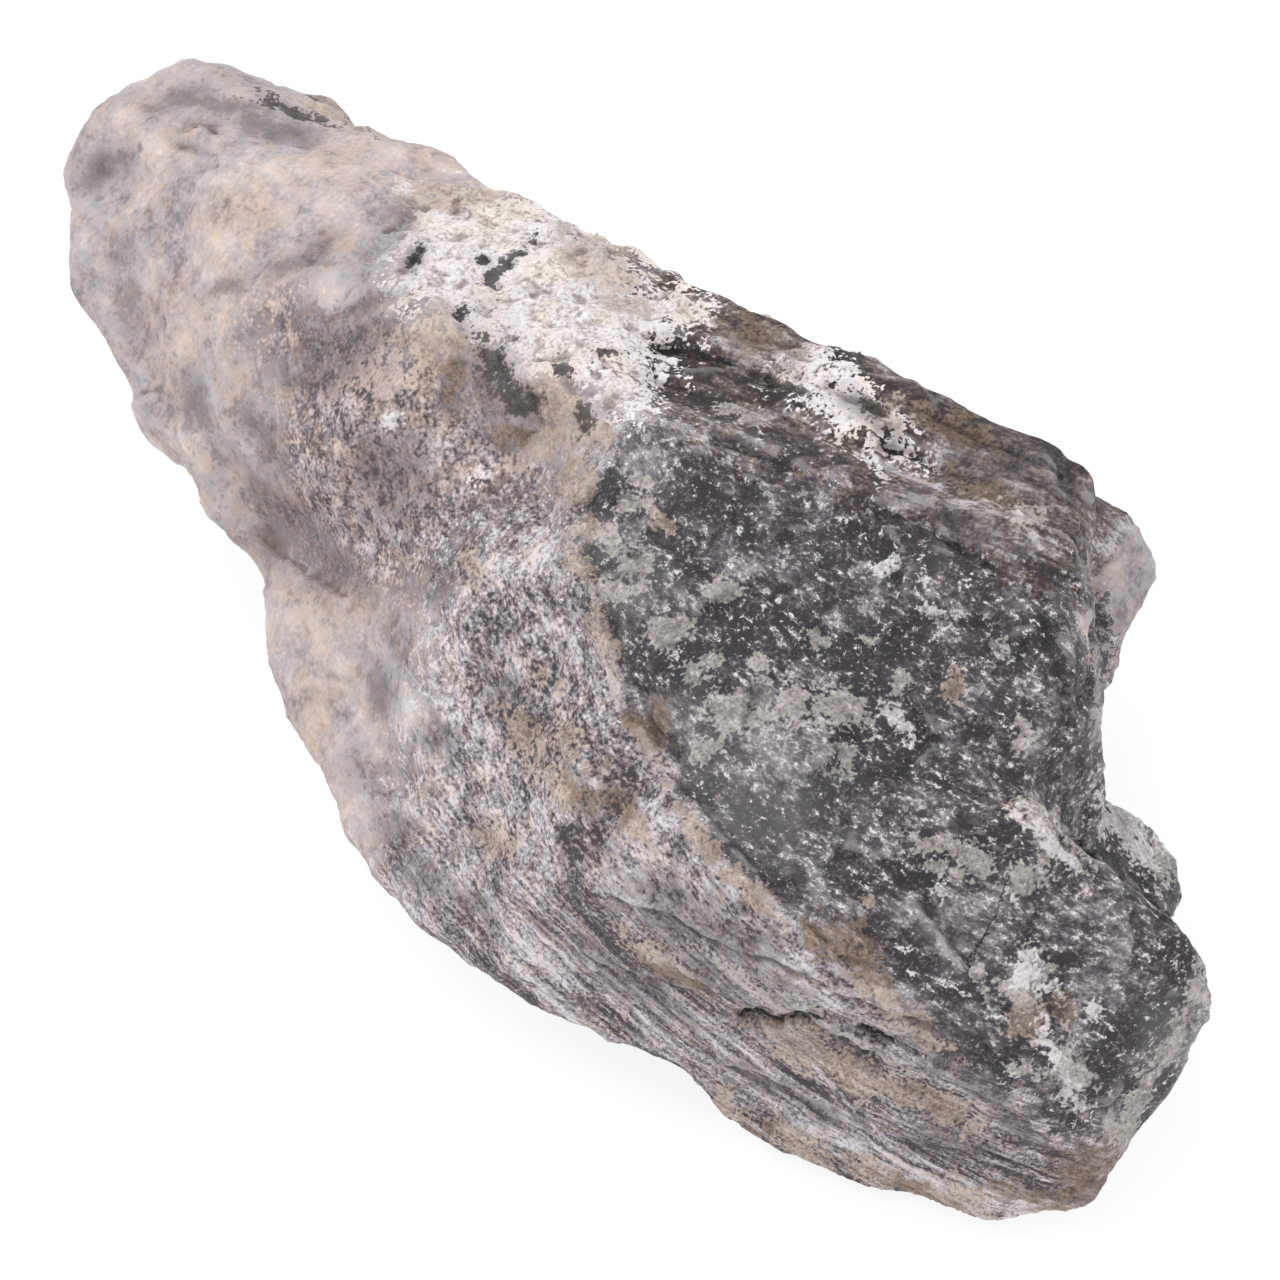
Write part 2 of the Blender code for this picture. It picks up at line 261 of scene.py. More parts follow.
LEDGES: tuple[Ledge, ...] = (
    Ledge((0.2, 12.0), (6.0, 10.4), 0.3, 0.9), Ledge((8.6, 8.4), (17.2, 5.2), 0.3, 0.8),
    Ledge((2.6, 8.4), (9.0, 5.9), 0.25, 0.9), Ledge((8.6, 5.8), (15.8, 2.2), 0.35, 0.9),
    Ledge((5.0, 9.6), (12.4, 6.4), 0.2, 0.6), Ledge((11.0, 9.4), (17.6, 6.4), 0.25, 0.7),
    Ledge((-2.4, -9.6), (12.2, -15.7), 0.4, 0.8), Ledge((0.0, -12.6), (14.8, -18.6), 0.45, 0.8),
    Ledge((2.4, -16.6), (14.0, -21.0), 0.4, 0.7), Ledge((4.0, -13.2), (11.0, -16.2), 0.45, 0.6),
    Ledge((-3.6, -12.0), (5.0, -15.2), 0.2, 0.6), Ledge((7.6, -18.2), (16.2, -21.4), 0.25, 0.6),
    Ledge((-12.0, 19.4), (-18.4, 20.6), 0.3, 0.9), Ledge((-11.4, 1.4), (-15.8, 4.2), 0.3, 1.4),
    Ledge((16.0, -7.0), (22.0, -11.6), 0.3, 0.8), Ledge((13.4, -16.0), (19.6, -19.0), 0.25, 0.8),
    Ledge((16.0, 2.4), (17.6, -4.0), 0.3, 0.8),
    Ledge((11.4, -16.0), (5.7, -10.7), 0.3, 1.0), Ledge((6.2, -11.2), (0.8, -5.0), 0.35, 1.2),
    Ledge((1.2, -5.6), (-1.9, 1.5), 0.35, 1.2), Ledge((-1.6, 0.6), (-2.8, 6.0), 0.25, 1.0),
    Ledge((6.4, -13.8), (13.6, -17.0), 0.25, 0.5), Ledge((-6.0, -13.0), (3.0, -17.4), 0.3, 0.8),
    Ledge((-5.2, 11.9), (-3.6, 8.4), 0.25, 0.8),
)

# Each mark's x, y, length, width and turn, as Mark takes them.
MARKS: dict[Mineral, tuple[tuple[float, ...], ...]] = {
    Mineral.PALE: (
        (1.2, 0.4, 1.9, 1.5), (3.3, 2.0, 2.0, 0.8, 8), (3.7, -2.9, 2.2, 1.3, -8), (6.2, -2.6, 0.9, 2.0, 12),
        (8.2, -2.8, 2.4, 1.7, -30), (8.1, -4.7, 0.9, 1.6), (10.5, -1.6, 0.9, 0.9), (6.9, 0.1, 1.2, 0.9),
        (9.1, 0.0, 0.9, 0.5, -30), (15.2, -3.8, 0.9, 1.4), (14.4, -0.4, 0.7, 1.1),
        (12.9, -8.7, 3.2, 1.5, -20), (15.5, -9.6, 1.8, 1.3), (16.4, -7.7, 3.8, 1.3, -46),
        (15.6, -13.6, 1.9, 2.2), (17.2, -16.8, 1.3, 2.6, 25), (15.4, -17.3, 1.4, 0.9),
        (13.6, -13.5, 0.6, 1.6, 10), (19.0, -19.6, 0.8, 1.8, 40), (22.9, -13.7, 2.2, 1.9),
        (21.2, -16.2, 0.9, 3.2, -35), (20.0, -18.4, 0.7, 2.2, -35), (20.9, -8.7, 2.6, 1.2, -50),
        (3.0, -0.9, 1.0, 0.6), (-0.5, 5.4, 1.4, 1.0), (0.2, 6.4, 1.0, 0.8), (-1.0, 4.2, 1.4, 1.1),
        (-0.2, 3.0, 1.2, 1.6), (-1.3, 2.0, 1.4, 1.0, 40), (2.0, -1.3, 1.2, 0.8, -30), (4.6, -0.9, 1.0, 1.2),
        (2.6, -4.4, 1.2, 0.8, 20), (19.5, -20.0, 1.4, 2.0, 40), (5.6, -14.3, 5.6, 0.6, -30),
        (9.6, -16.6, 4.6, 0.6, -27), (-1.0, -2.0, 1.6, 0.6, -66), (15.2, 5.0, 1.5, 1.5),
        (4.0, 9.0, 2.2, 0.8, -25),
    ),
    Mineral.WHITE: (
        # The marks from (11.4, 2.4) to (12.8, 1.2) stand for a bright patch of light reflected off cleavage
        # planes: painted reflection.
        (10.4, -3.3, 1.5, 0.6, -50), (9.8, 3.2, 1.1, 0.6, 20), (11.4, 2.4, 0.6, 0.5),
        (11.8, 1.0, 1.1, 0.6, -30), (12.8, 1.2, 0.6, 0.4), (13.7, 2.7, 0.9, 0.4, 30),
        (16.5, -8.0, 3.0, 0.8, -46), (15.4, -13.1, 1.1, 0.9), (16.3, -13.9, 0.8, 0.6, 30),
        (16.4, -16.2, 0.9, 1.3, 20), (17.4, -18.4, 0.7, 1.6, 25), (18.0, -14.9, 0.6, 1.1),
        (12.1, -10.1, 0.7, 0.5), (14.9, -10.4, 0.5, 0.4), (19.4, -7.2, 2.6, 1.5, -40),
        (20.3, -8.6, 1.6, 0.7, -50), (-6.6, 11.9, 0.5, 0.4), (-6.3, 6.5, 0.7, 0.8),
        (-10.1, 8.6, 0.9, 0.5, 40), (14.9, 5.1, 0.8, 0.5),
    ),
    Mineral.TAN: (
        (16.3, -7.6, 4.2, 1.2, -46), (15.7, -15.3, 1.7, 1.9), (12.5, -2.0, 0.9, 0.9),
        (1.0, 4.6, 1.6, 0.5, -50), (-2.2, 4.6, 1.3, 1.0), (-2.0, 8.5, 1.6, 1.3), (9.1, -10.3, 0.5, 0.4),
        (9.6, -14.0, 4.6, 1.3, -42), (16.3, -22.9, 2.6, 1.0), (-6.7, 2.8, 1.0, 1.3),
        (-4.7, -4.0, 2.4, 1.2, -52), (-3.6, -5.7, 2.8, 1.2, -40), (-2.9, -4.0, 2.0, 1.0, -60),
        (-5.7, -8.1, 2.2, 1.0, -50), (-0.3, -7.5, 2.2, 1.2, -40), (-3.9, -1.6, 1.3, 0.8, -40),
        (0.8, -12.5, 3.0, 0.9, -32), (6.1, -16.1, 4.4, 1.4, -27), (11.6, -18.6, 4.4, 1.2, -25),
        (3.4, -18.9, 2.8, 1.3, -35), (6.4, -20.3, 3.2, 1.0, -27), (9.4, -21.4, 3.4, 1.2, -25),
        (12.8, -22.5, 3.4, 1.4, -20), (8.6, -17.4, 3.8, 0.9, -26), (-1.5, 0.2, 2.6, 0.7, -68),
        (0.1, -4.2, 2.2, 0.7, -60), (2.4, -7.8, 3.4, 0.8, -48), (4.4, -10.0, 3.0, 0.8, -42),
        (-2.4, 3.0, 1.8, 0.8, -75), (-12.0, 21.7, 2.6, 1.2, -20), (-8.0, 12.0, 2.4, 2.0),
        (-3.1, 9.3, 3.2, 1.7), (-7.2, 17.9, 3.0, 1.2, -8), (-3.4, 7.9, 1.2, 1.0), (-2.6, 6.4, 1.0, 1.8, 10),
        (-1.8, 15.2, 3.0, 1.6, -30), (-0.4, 13.4, 2.2, 1.0, -10), (9.8, 8.9, 1.4, 0.5, -40),
    ),
    Mineral.HONEY: (
        (16.9, -14.7, 0.9, 1.2, 20), (12.6, -2.1, 0.5, 0.5), (0.7, -2.9, 1.2, 1.4),
        (8.2, -12.2, 3.6, 1.6, -42), (17.9, -21.2, 3.4, 2.0, 40), (-1.4, -6.3, 2.6, 1.8, -30),
        (0.2, -3.6, 1.8, 1.2, -50), (1.9, -13.7, 2.4, 0.9, -32), (4.3, -19.6, 1.6, 0.7, -30),
        (11.4, -22.3, 2.8, 0.8, -28), (15.2, -22.0, 2.6, 1.0, -10), (-5.2, 8.2, 1.6, 1.0),
        (-7.3, 10.6, 0.8, 2.4, -8), (5.0, 11.9, 2.8, 1.9, -20), (12.6, 8.4, 4.2, 1.0, -25),
        (14.0, 6.0, 3.0, 0.8, -28),
    ),
    Mineral.DARK: (
        (11.8, -15.8, 2.0, 1.2, -30), (3.0, -13.2, 5.0, 0.7, -32), (7.6, -16.0, 6.0, 0.7, -30),
        (-0.6, -13.6, 4.6, 0.9, -33), (6.0, -18.2, 4.6, 0.6, -28), (12.6, -19.9, 3.0, 1.2, -24),
        (1.8, -10.9, 5.4, 1.0, -36), (4.4, -12.2, 4.0, 0.8, -34), (2.6, -11.9, 6.4, 2.4, -35),
        (15.2, -19.4, 3.6, 0.7, -38), (13.2, -17.6, 2.6, 0.9, -35), (-10.4, -2.2, 0.9, 1.4, 30),
        (-11.2, -5.0, 0.8, 1.2, 20), (-9.6, -7.4, 1.2, 0.9, -40), (-8.2, -3.6, 0.9, 1.3, 10),
        (-10.0, 0.2, 1.0, 1.2), (-8.6, -9.6, 1.4, 0.8, -40), (-5.4, -1.8, 1.0, 1.4, 30),
        (-4.4, -3.4, 1.0, 0.6, -50), (-6.6, -10.6, 1.6, 0.7, -40), (-13.3, 11.7, 1.5, 0.7, 35),
        (-12.3, 11.2, 1.8, 0.7, -35), (-12.7, 10.3, 1.3, 0.6, 20), (-12.5, 11.3, 3.0, 1.8, 25),
        (-11.0, 12.3, 2.2, 0.7, 20), (-11.4, 13.4, 3.0, 0.7, 12), (-16.6, 14.2, 1.8, 0.5, 30),
        (-13.2, 15.4, 2.6, 0.7, 25), (-20.7, 13.6, 0.8, 2.6), (-21.5, 18.8, 2.2, 0.7, 35),
        # These three are painted shade: the shadow in a notch and along the head's top edge.
        (-17.8, 19.7, 1.5, 0.4, -30), (-14.4, 20.4, 2.6, 0.8, -15), (-16.2, 21.4, 3.6, 0.7, -14),
        (-18.4, 21.8, 2.6, 0.8, 10), (-9.1, 15.2, 1.7, 0.6, 42), (-9.9, 16.5, 3.0, 1.1, 45),
        # The first two on this row are painted shade: the shadow line under the overhang of the upper left
        # lobe.
        (-14.2, 4.4, 4.2, 1.9, -50), (-12.3, 2.9, 3.2, 1.1, -42), (-17.8, 9.2, 0.9, 3.6, 28),
        (-10.2, 6.6, 2.0, 2.6), (-15.4, 8.0, 1.0, 3.0, 25), (-5.8, 10.4, 4.4, 2.2, -55),
        (9.0, 9.0, 2.2, 0.6, -35), (14.0, 6.6, 4.0, 0.8, -25), (7.0, 7.6, 3.4, 0.6, -28),
        (15.6, 7.0, 4.4, 1.8, -30), (12.4, 5.0, 4.4, 0.9, -27),
    ),
    Mineral.BLACK: (
        (-5.8, 14.2, 0.5, 0.6), (-5.3, 14.8, 0.8, 0.3, 50), (-4.9, 15.4, 0.8, 0.3, 45),
        (-4.5, 16.1, 0.7, 0.4, 30), (-6.3, 15.0, 0.5, 0.3), (-2.9, 10.8, 0.5, 1.1, 10),
        (-1.4, 11.2, 0.8, 0.35), (-7.1, 13.0, 0.4, 0.6), (-8.9, 15.4, 0.9, 0.4, 45),
    ),
    Mineral.SLATE: (
        (-13.4, 21.2, 3.4, 0.5, -16), (-6.0, 11.0, 2.6, 1.3, -58), (-5.0, 9.6, 2.0, 1.2, -45),
        (-2.2, 9.0, 0.8, 1.4), (9.4, 9.2, 1.1, 0.4, -35), (5.4, 10.3, 2.4, 0.4, -18),
        (12.6, -7.4, 1.4, 0.7),
    ),
    Mineral.PEACH: (
        (-11.1, 1.5, 2.6, 1.6), (-13.5, 1.0, 1.8, 3.6), (-13.2, -5.0, 1.0, 2.0, 10),
        (-10.9, 10.6, 3.0, 2.0), (-4.7, 7.2, 2.4, 1.0, 20), (-15.3, 13.5, 2.6, 1.6, 20),
        (-17.4, 12.9, 1.6, 2.2), (-11.9, 19.2, 5.0, 3.2, 35), (-15.0, 17.1, 4.4, 1.6, 20),
    ),
    Mineral.GREEN: (
        (-0.6, 2.8, 4.4, 3.6, -50), (4.6, -5.9, 8.0, 5.0, -40), (21.5, -16.0, 3.0, 3.5),
    ),
}

# How far each mineral stands proud, mm, or sinks in where it is negative.
MARK_LIFTS: dict[Mineral, float] = {
    Mineral.PALE: 0.05, Mineral.WHITE: 0.06, Mineral.TAN: 0.04, Mineral.HONEY: -0.05, Mineral.BLACK: -0.08,
    Mineral.DARK: -0.04, Mineral.SLATE: -0.12,
}

# How often the relief is averaged to tell a hollow from a crest.
RELIEF_TURNS = 14

CRACKS: tuple[Crack, ...] = (
    Crack(((14.8, -9.2), (14.5, -10.0), (14.4, -10.4), (13.9, -11.6), (13.2, -12.8), (13.1, -14.6)),
          0.035, 0.08),
    Crack(((3.7, -15.25), (4.3, -15.1), (5.3, -15.35), (6.2, -15.15), (7.8, -15.3)), 0.06, 0.35),
    Crack(((8.6, -15.5), (9.4, -15.7), (10.3, -16.0)), 0.035, 0.25),
    # The four lines on the top band run along its ledges: each is a shallow groove with painted shadow under
    # the step.
    Crack(((0.5, 11.8), (1.6, 11.8), (3.0, 11.5), (4.3, 10.9)), 0.09, 0.35),
    Crack(((8.9, 8.3), (10.4, 7.6), (12.0, 6.7)), 0.05, 0.2),
    Crack(((2.6, 8.3), (4.4, 7.7), (6.4, 6.9)), 0.03, 0.12),
    Crack(((9.2, 5.5), (11.4, 4.4), (13.6, 3.2)), 0.04, 0.15),
)


def tone(red: int, green: int, blue: int) -> Tone:
    """Turn a colour as the screen shows it, 0 to 255, into the linear colour that a shader takes.

    Args:
        red, green, blue: the colour's parts

    Returns:
        The linear colour with alpha.
    """
    def linear(part: int) -> float:
        """One part, made linear."""
        value = part / 255.0
        return value / 12.92 if value <= 0.04045 else ((value + 0.055) / 1.055) ** 2.4
    return linear(red), linear(green), linear(blue), 1.0


def waves(places: np.ndarray, size: Size, octaves: int = 2, seed: float = 0.0) -> np.ndarray:
    """Soft random swells, the same on every run.

    Args:
        places: one row a point, mm
        size: how wide a swell is, mm, one number or one for each direction
        octaves: how many finer swells are laid over it
        seed: moves the pattern

    Returns:
        One number a point, about -1 to 1.
    """
    moved = places / np.asarray(size) + seed
    return np.array([noise.fractal(row, 1.0, 2.0, octaves) for row in moved.tolist()])


def ridges(places: np.ndarray, size: Size, octaves: int = 2, seed: float = 0.0) -> np.ndarray:
    """Sharp random crests between round valleys.

    Args:
        places: one row a point, mm
        size: how wide a crest is, mm
        octaves: how many finer crests are laid over it
        seed: moves the pattern

    Returns:
        One number a point, 1 on a crest and down to about 0.
    """
    return 1.0 - np.minimum(1.0, 1.6 * np.abs(waves(places, size, octaves, seed)))


def eased(low: float, high: float, value: np.ndarray) -> np.ndarray:
    """Rise smoothly from 0 at low to 1 at high."""
    part = np.clip((value - low) / (high - low), 0.0, 1.0)
    return part * part * (3.0 - 2.0 * part)


def chips(places: np.ndarray, size: Size, seed: float = 0.0, flat: bool = False) -> np.ndarray:
    """Flat chips at chance tilts with crisp edges between them, as broken feldspar has.

    Args:
        places: one row a point, mm
        size: how wide a chip is, mm, one number or one for each direction
        seed: moves the pattern
        flat: each chip has one value all over, and isn't tilted

    Returns:
        The height of each point in parts of the size, about -0.5 to 0.5.
    """
    moved = places / np.asarray(size) + seed
    found = [noise.voronoi(row, distance_metric="DISTANCE") for row in moved.tolist()]
    total, weight = np.zeros(len(moved)), np.zeros(len(moved))
    for order in (0, 1):
        gap = np.array([item[0][order] for item in found])
        centre = np.array([item[1][order][:] for item in found])
        tilt = np.modf(np.sin(centre @ CHIP_MIX) * CHIP_SCATTER)[0]
        share = np.exp(-gap / CHIP_EDGE)
        rise = 0.5 * tilt[:, 1] if flat else (tilt * (moved - centre)).sum(axis=1) + 0.25 * tilt[:, 0]
        total += share * rise
        weight += share
    return total / np.maximum(weight, TINY)


def inside(points: np.ndarray, outline: Sequence[tuple[float, float]]) -> np.ndarray:
    """Measure how far each point is inside an outline.

    Args:
        points: x and y, one row a point, mm
        outline: the outline's corners

    Returns:
        The distance to the outline, mm, negative outside it.
    """
    nearest = np.full(len(points), np.inf)
    crossed = np.zeros(len(points), bool)
    corners = [np.array(corner) for corner in outline]
    for start, end in zip(corners, corners[1:] + corners[:1]):
        nearest = np.minimum(nearest, side_of(points, start, end)[0])
        rises = (points[:, 1] < start[1]) != (points[:, 1] < end[1])
        climb = end[1] - start[1] if end[1] != start[1] else TINY
        reach = start[0] + (points[:, 1] - start[1]) * (end[0] - start[0]) / climb
        crossed ^= rises & (points[:, 0] < reach)
    return np.where(crossed, nearest, -nearest)


def side_of(points: np.ndarray, start: np.ndarray,
            end: np.ndarray) -> tuple[np.ndarray, np.ndarray, np.ndarray]:
    """Measure points against one straight stretch of a line.

    Args:
        points: x and y, one row a point, mm
        start, end: the stretch's ends

    Returns:
        The distance, which side it is on as -1 or 1, and how far along the stretch it is, 0 to 1.
    """
    run = end - start
    length = max(float(run @ run), TINY)
    along = np.clip(((points - start) @ run) / length, 0.0, 1.0)
    off = points - start - along[:, None] * run
    side = np.sign(run[0] * off[:, 1] - run[1] * off[:, 0])
    return np.hypot(off[:, 0], off[:, 1]), np.where(side == 0, 1.0, side), along


@dataclass
class Skin:
    """The stone's whole surface: a finer copy of the solid with the grain's low relief.

    Args:
        voxel: spacing of the points on the far side, mm; half of it on the near side
        soften: how often the copied facets are smoothed
        facing: the least direction towards the eye, 1 for straight at it, of a face that is made fine
        grain: height of the fresh face's chips, mm
        fibre: height of the fibres, mm
        bed: height of the top band's striations, mm
        rind: height of the weathered lumps, mm
        crust: how proud the white crust stands, mm
        sink: how far the whole skin is drawn in first, so that the relief stays in the solid's box, mm
    """

    voxel: float = 0.4
    soften: int = 4
    facing: float = 0.05
    grain: float = 0.4
    fibre: float = 0.2
    bed: float = 0.22
    rind: float = 0.2
    crust: float = 0.2
    sink: float = 0.12

    def build(self) -> Piece:
        """Make the skin and everything that its material reads.

        Returns:
            The finished piece, riding on the body and standing for the solid.
        """
        stone = self.copy_solid()
        self.refine(stone)
        self.measure(stone)
        self.carve(stone)
        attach(stone, "root")
        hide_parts(NODE)
        return stone

    def copy_solid(self) -> Piece:
        """Copy the frame's solid and merge its loose triangles.

        Returns:
            The copy.
        """
        bpy.ops.object.select_all(action="DESELECT")
        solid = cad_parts[NODE]
        stone = bpy.data.objects.new("rough_stone", solid.data.copy())
        bpy.context.scene.collection.objects.link(stone)
        stone.data.materials.clear()
        stone.select_set(True)
        bpy.context.view_layer.objects.active = stone
        bpy.ops.object.mode_set(mode="EDIT")
        bpy.ops.mesh.select_all(action="SELECT")
        bpy.ops.mesh.remove_doubles(threshold=0.01 * MM)
        bpy.ops.object.mode_set(mode="OBJECT")
        return stone

    def refine(self, stone: Piece) -> None:
        """Remesh the copy evenly, soften its facets and halve the spacing where the eye looks.

        Args:
            stone: the copied solid
        """
        remesh = stone.modifiers.new("even_skin", "REMESH")
        remesh.mode = "VOXEL"
        remesh.voxel_size = self.voxel * MM
        bpy.ops.object.modifier_apply(modifier=remesh.name)
        self.smooth(stone, self.soften)
        normals = sketch_directions(normals_of(stone, faces=True))
        stone.data.polygons.foreach_set("select", normals[:, 2] > self.facing)
        stone.data.vertices.foreach_set("select", np.zeros(len(stone.data.vertices), bool))
        stone.data.edges.foreach_set("select", np.zeros(len(stone.data.edges), bool))
        bpy.context.tool_settings.mesh_select_mode = (False, False, True)
        bpy.ops.object.mode_set(mode="EDIT")
        bpy.ops.mesh.subdivide(number_cuts=1, smoothness=0.0)
        bpy.ops.object.mode_set(mode="OBJECT")
        self.smooth(stone, 2)
        bpy.ops.object.shade_smooth()

    def smooth(self, stone: Piece, turns: int) -> None:
        """Relax the skin's points a few times."""
        relax = stone.modifiers.new("relax", "SMOOTH")
        relax.factor = 0.5
        relax.iterations = turns
        bpy.ops.object.modifier_apply(modifier=relax.name)

    def measure(self, stone: Piece) -> None:
        """Write down, at each point, which minerals are there and how the grain runs.

        Args:
            stone: the refined skin
        """
        places = places_of(stone)
        sketch, seen = in_sketch(places)
        front = eased(*NEAR_SIDE, sketch_directions(normals_of(stone))[:, 2])
        self.spread(stone, "near_side", front)
        points = places / MM
        behind = drift(points, FAR_WANDER_SIZE, 2, FAR_WANDER_SEEDS) * FAR_WANDER
        wander = drift(points, WANDER_SIZE, 4, WANDER_SEEDS) * WANDER
        look = seen + wander + behind * (1.0 - front)[:, None]
        for zone, outlines in OUTLINES.items():
            field = np.max([inside(look, outline) for outline in outlines], axis=0)
            self.spread(stone, zone.value, np.clip(field, -FIELD_LIMIT, FIELD_LIMIT))
        self.mark_minerals(stone, seen + MARK_SHARE * wander, front, chips(points, 1.0, 7.0, flat=True))
        self.mark_cracks(stone, seen + CRACK_SHARE * wander, front)
        off = seen - np.array(BEND_CENTRE)
        radius = np.hypot(off[:, 0], off[:, 1])
        arc = np.arctan2(off[:, 1], off[:, 0]) % (2.0 * math.pi) * BEND_RADIUS
        self.spread_vector(stone, "flow", np.stack([radius, arc, sketch[:, 2]], axis=1))
        along, across = np.array(BED_ALONG), np.array((-BED_ALONG[1], BED_ALONG[0]))
        beds = [sketch[:, :2] @ across, sketch[:, :2] @ along, sketch[:, 2]]
        self.spread_vector(stone, "bed", np.stack(beds, axis=1))
        courses = {"points": points, "flow": vectors(stone, "flow"), "bed": vectors(stone, "bed")}
        for name, (course, size, octaves, seed) in SWELLS.items():
            swell = waves(courses[course], size, octaves, seed)
            self.spread(stone, name, 0.5 + SWELL_REACH * (swell - swell.mean()) / swell.std())
        flakes = chips(courses["flow"], SHORT_FLAKE, 5.0, flat=True)
        self.spread(stone, "facet", chips(points, LARGE_CHIP, 2.0, flat=True) + 0.8 * flakes)
        brink = FIRST_LEDGE[1] + (seen[:, 0] - FIRST_LEDGE[0]) * LEDGE_FALL
        rightward = COMBED_LEFT + (1.0 - COMBED_LEFT) * eased(-10.0, -2.0, seen[:, 0])
        self.spread(stone, "combed", eased(-2.0, 2.5, brink - seen[:, 1]) * rightward)

    def mark_minerals(self, stone: Piece, seen: np.ndarray, front: np.ndarray, angular: np.ndarray) -> None:
        """Lay the small patches and specks on the near side, one attribute a mineral.

        Args:
            stone: the skin
            seen: each point in the sketch, mm
            front: 1 on the near side and 0 on the far side
            angular: flat chips that make the patches' outlines angular
        """
        for mineral, rows in MARKS.items():
            field = np.full(len(seen), NO_MARK)
            for row in rows:
                field = np.maximum(field, Mark(*row).field(seen))
            limit = NO_MARK + 4.0 * front
            self.spread(stone, mineral.value, np.minimum(field + ANGULAR * angular, limit))

    def mark_cracks(self, stone: Piece, seen: np.ndarray, front: np.ndarray) -> None:
        """Keep each point's place across the nearest crack and the crack's opening there.

        Args:
            stone: the skin
            seen: each point in the sketch, mm
            front: 1 on the near side and 0 on the far side
        """
        nearest = np.full(len(seen), NO_CRACK)
        side = np.full(len(seen), NO_CRACK)
        opening = np.zeros(len(seen))
        depth = np.zeros(len(seen))
        for crack in CRACKS:
            corners = [np.array(point) for point in crack.points]
            stretches = len(corners) - 1
            for number, (start, end) in enumerate(zip(corners, corners[1:])):
                off, left, along = side_of(seen, start, end)
                closer = off < nearest
                nearest = np.where(closer, off, nearest)
                side = np.where(closer, off * left, side)
                part = (number + along) / stretches
                window = eased(0.0, 0.15, part) * eased(1.0, 0.8, part) * eased(1.2, 0.6, off) * front
                opening = np.where(closer, crack.half_width * window, opening)
                depth = np.where(closer, crack.depth * window * eased(0.45, 0.05, off), depth)
        self.spread(stone, "crack_side", side)
        self.spread(stone, "crack_open", opening)
        self.spread(stone, "crack_depth", depth)

    def carve(self, stone: Piece) -> None:
        """Move the points in or out for the grain, the fibres, the crust and the cracks.

        Args:
            stone: the skin, with its attributes
        """
        places = places_of(stone)
        normals = normals_of(stone)
        flow, bed = vectors(stone, "flow"), vectors(stone, "bed")
        seen = in_sketch(places)[1]
        fields = {zone: numbers(stone, zone.value) for zone in Zone}
        points = places / MM
        face = eased(-0.4, 0.8, fields[Zone.FACE])
        slope, neck = eased(-0.5, 0.8, fields[Zone.FIBRE]), eased(-0.5, 0.8, fields[Zone.NECK])
        fibre = np.maximum(slope, 0.6 * neck) * (1.0 - face)
        band = eased(-0.3, 0.5, fields[Zone.BAND]) * (1.0 - face)
        crust = eased(-0.15, 0.25, fields[Zone.CRUST] + 0.25 * waves(points, 0.8, 2, 4.0))
        rind = (1.0 - face) * (1.0 - fibre) * (1.0 - band)
        combed = numbers(stone, "combed")
        self.spread(stone, "firm", 0.3 + 0.5 * np.maximum(np.maximum(face, crust), band))
        self.spread(stone, "fibred", 0.8 * fibre + 0.5 * band)
        height = face * self.grain * (chips(points, LARGE_CHIP, 2.0) + 0.35 * chips(flow, FLAKE, 5.0)
                                      + 0.12 * chips(flow, SMALL_FLAKE, 8.0))
        height += fibre * self.fibre * (0.6 * ridges(flow, LONG_FIBRE, 2, 1.0) * (0.4 + 0.6 * combed)
                                        + 0.5 * ridges(flow, SHORT_FIBRE, 2, 7.0)
                                        + chips(points, FIBRE_CHIP, 3.0) * 0.8)
        height += band * self.bed * (0.6 * ridges(bed, LONG_BED, 1, 1.5)
                                     + 0.25 * ridges(bed, SHORT_BED, 1, 3.5)
                                     + 1.5 * chips(bed, BED_CHIP, 6.0))
        height += rind * self.rind * (waves(points, 2.6, 2, 5.5) + 0.4 * ridges(points, 0.9, 2, 2.5)
                                      + 1.1 * chips(points, RIND_CHIP, 4.5))
        height += crust * self.crust * (0.6 + 0.7 * waves(points, 1.1, 3, 9.0)
                                        + 1.2 * chips(points, CRUST_CHIP, 1.5))
        for mineral, lift in MARK_LIFTS.items():
            field = numbers(stone, mineral.value) + 0.3 * waves(points, 0.5, 2, 1.0)
            height += lift * eased(0.0, 0.3, field)
        wander = LEDGE_WANDER * waves(points, 1.5, 3, 2.2)
        height += sum(ledge.lift(seen, wander) for ledge in LEDGES) * numbers(stone, "near_side")
        height -= numbers(stone, "crack_depth") + self.sink
        self.spread(stone, "relief", height - relaxed(stone, height, RELIEF_TURNS))
        moved = places + normals * (height * MM)[:, None]
        low, high = (np.array(corner) for corner in CAD_BOX)
        stone.data.vertices.foreach_set("co", np.clip(moved, low, high).ravel())
        stone.data.update()

    @staticmethod
    def spread(stone: Piece, name: str, values: np.ndarray) -> None:
        """Store one number a point under a name."""
        layer = stone.data.attributes.new(name, "FLOAT", "POINT")
        layer.data.foreach_set("value", values.astype(np.float32))

    @staticmethod
    def spread_vector(stone: Piece, name: str, values: np.ndarray) -> None:
        """Store three numbers a point under a name."""
        layer = stone.data.attributes.new(name, "FLOAT_VECTOR", "POINT")
        layer.data.foreach_set("vector", values.astype(np.float32).ravel())


def drift(points: np.ndarray, size: float, octaves: int, seeds: Sequence[float]) -> np.ndarray:
    """Chance shifts in the sketch, one pattern for each seed."""
    return np.stack([waves(points, size, octaves, seed) for seed in seeds], axis=1)


def places_of(piece: Piece) -> np.ndarray:
    """Every point of a piece, in metres, one row each."""
    places = np.empty(len(piece.data.vertices) * 3)
    piece.data.vertices.foreach_get("co", places)
    return places.reshape(-1, 3)


def normals_of(piece: Piece, faces: bool = False) -> np.ndarray:
    """The outward direction at every point, or of every face."""
    layer = piece.data.polygon_normals if faces else piece.data.vertex_normals
    normals = np.empty(len(layer) * 3)
    layer.foreach_get("vector", normals)
    return normals.reshape(-1, 3)


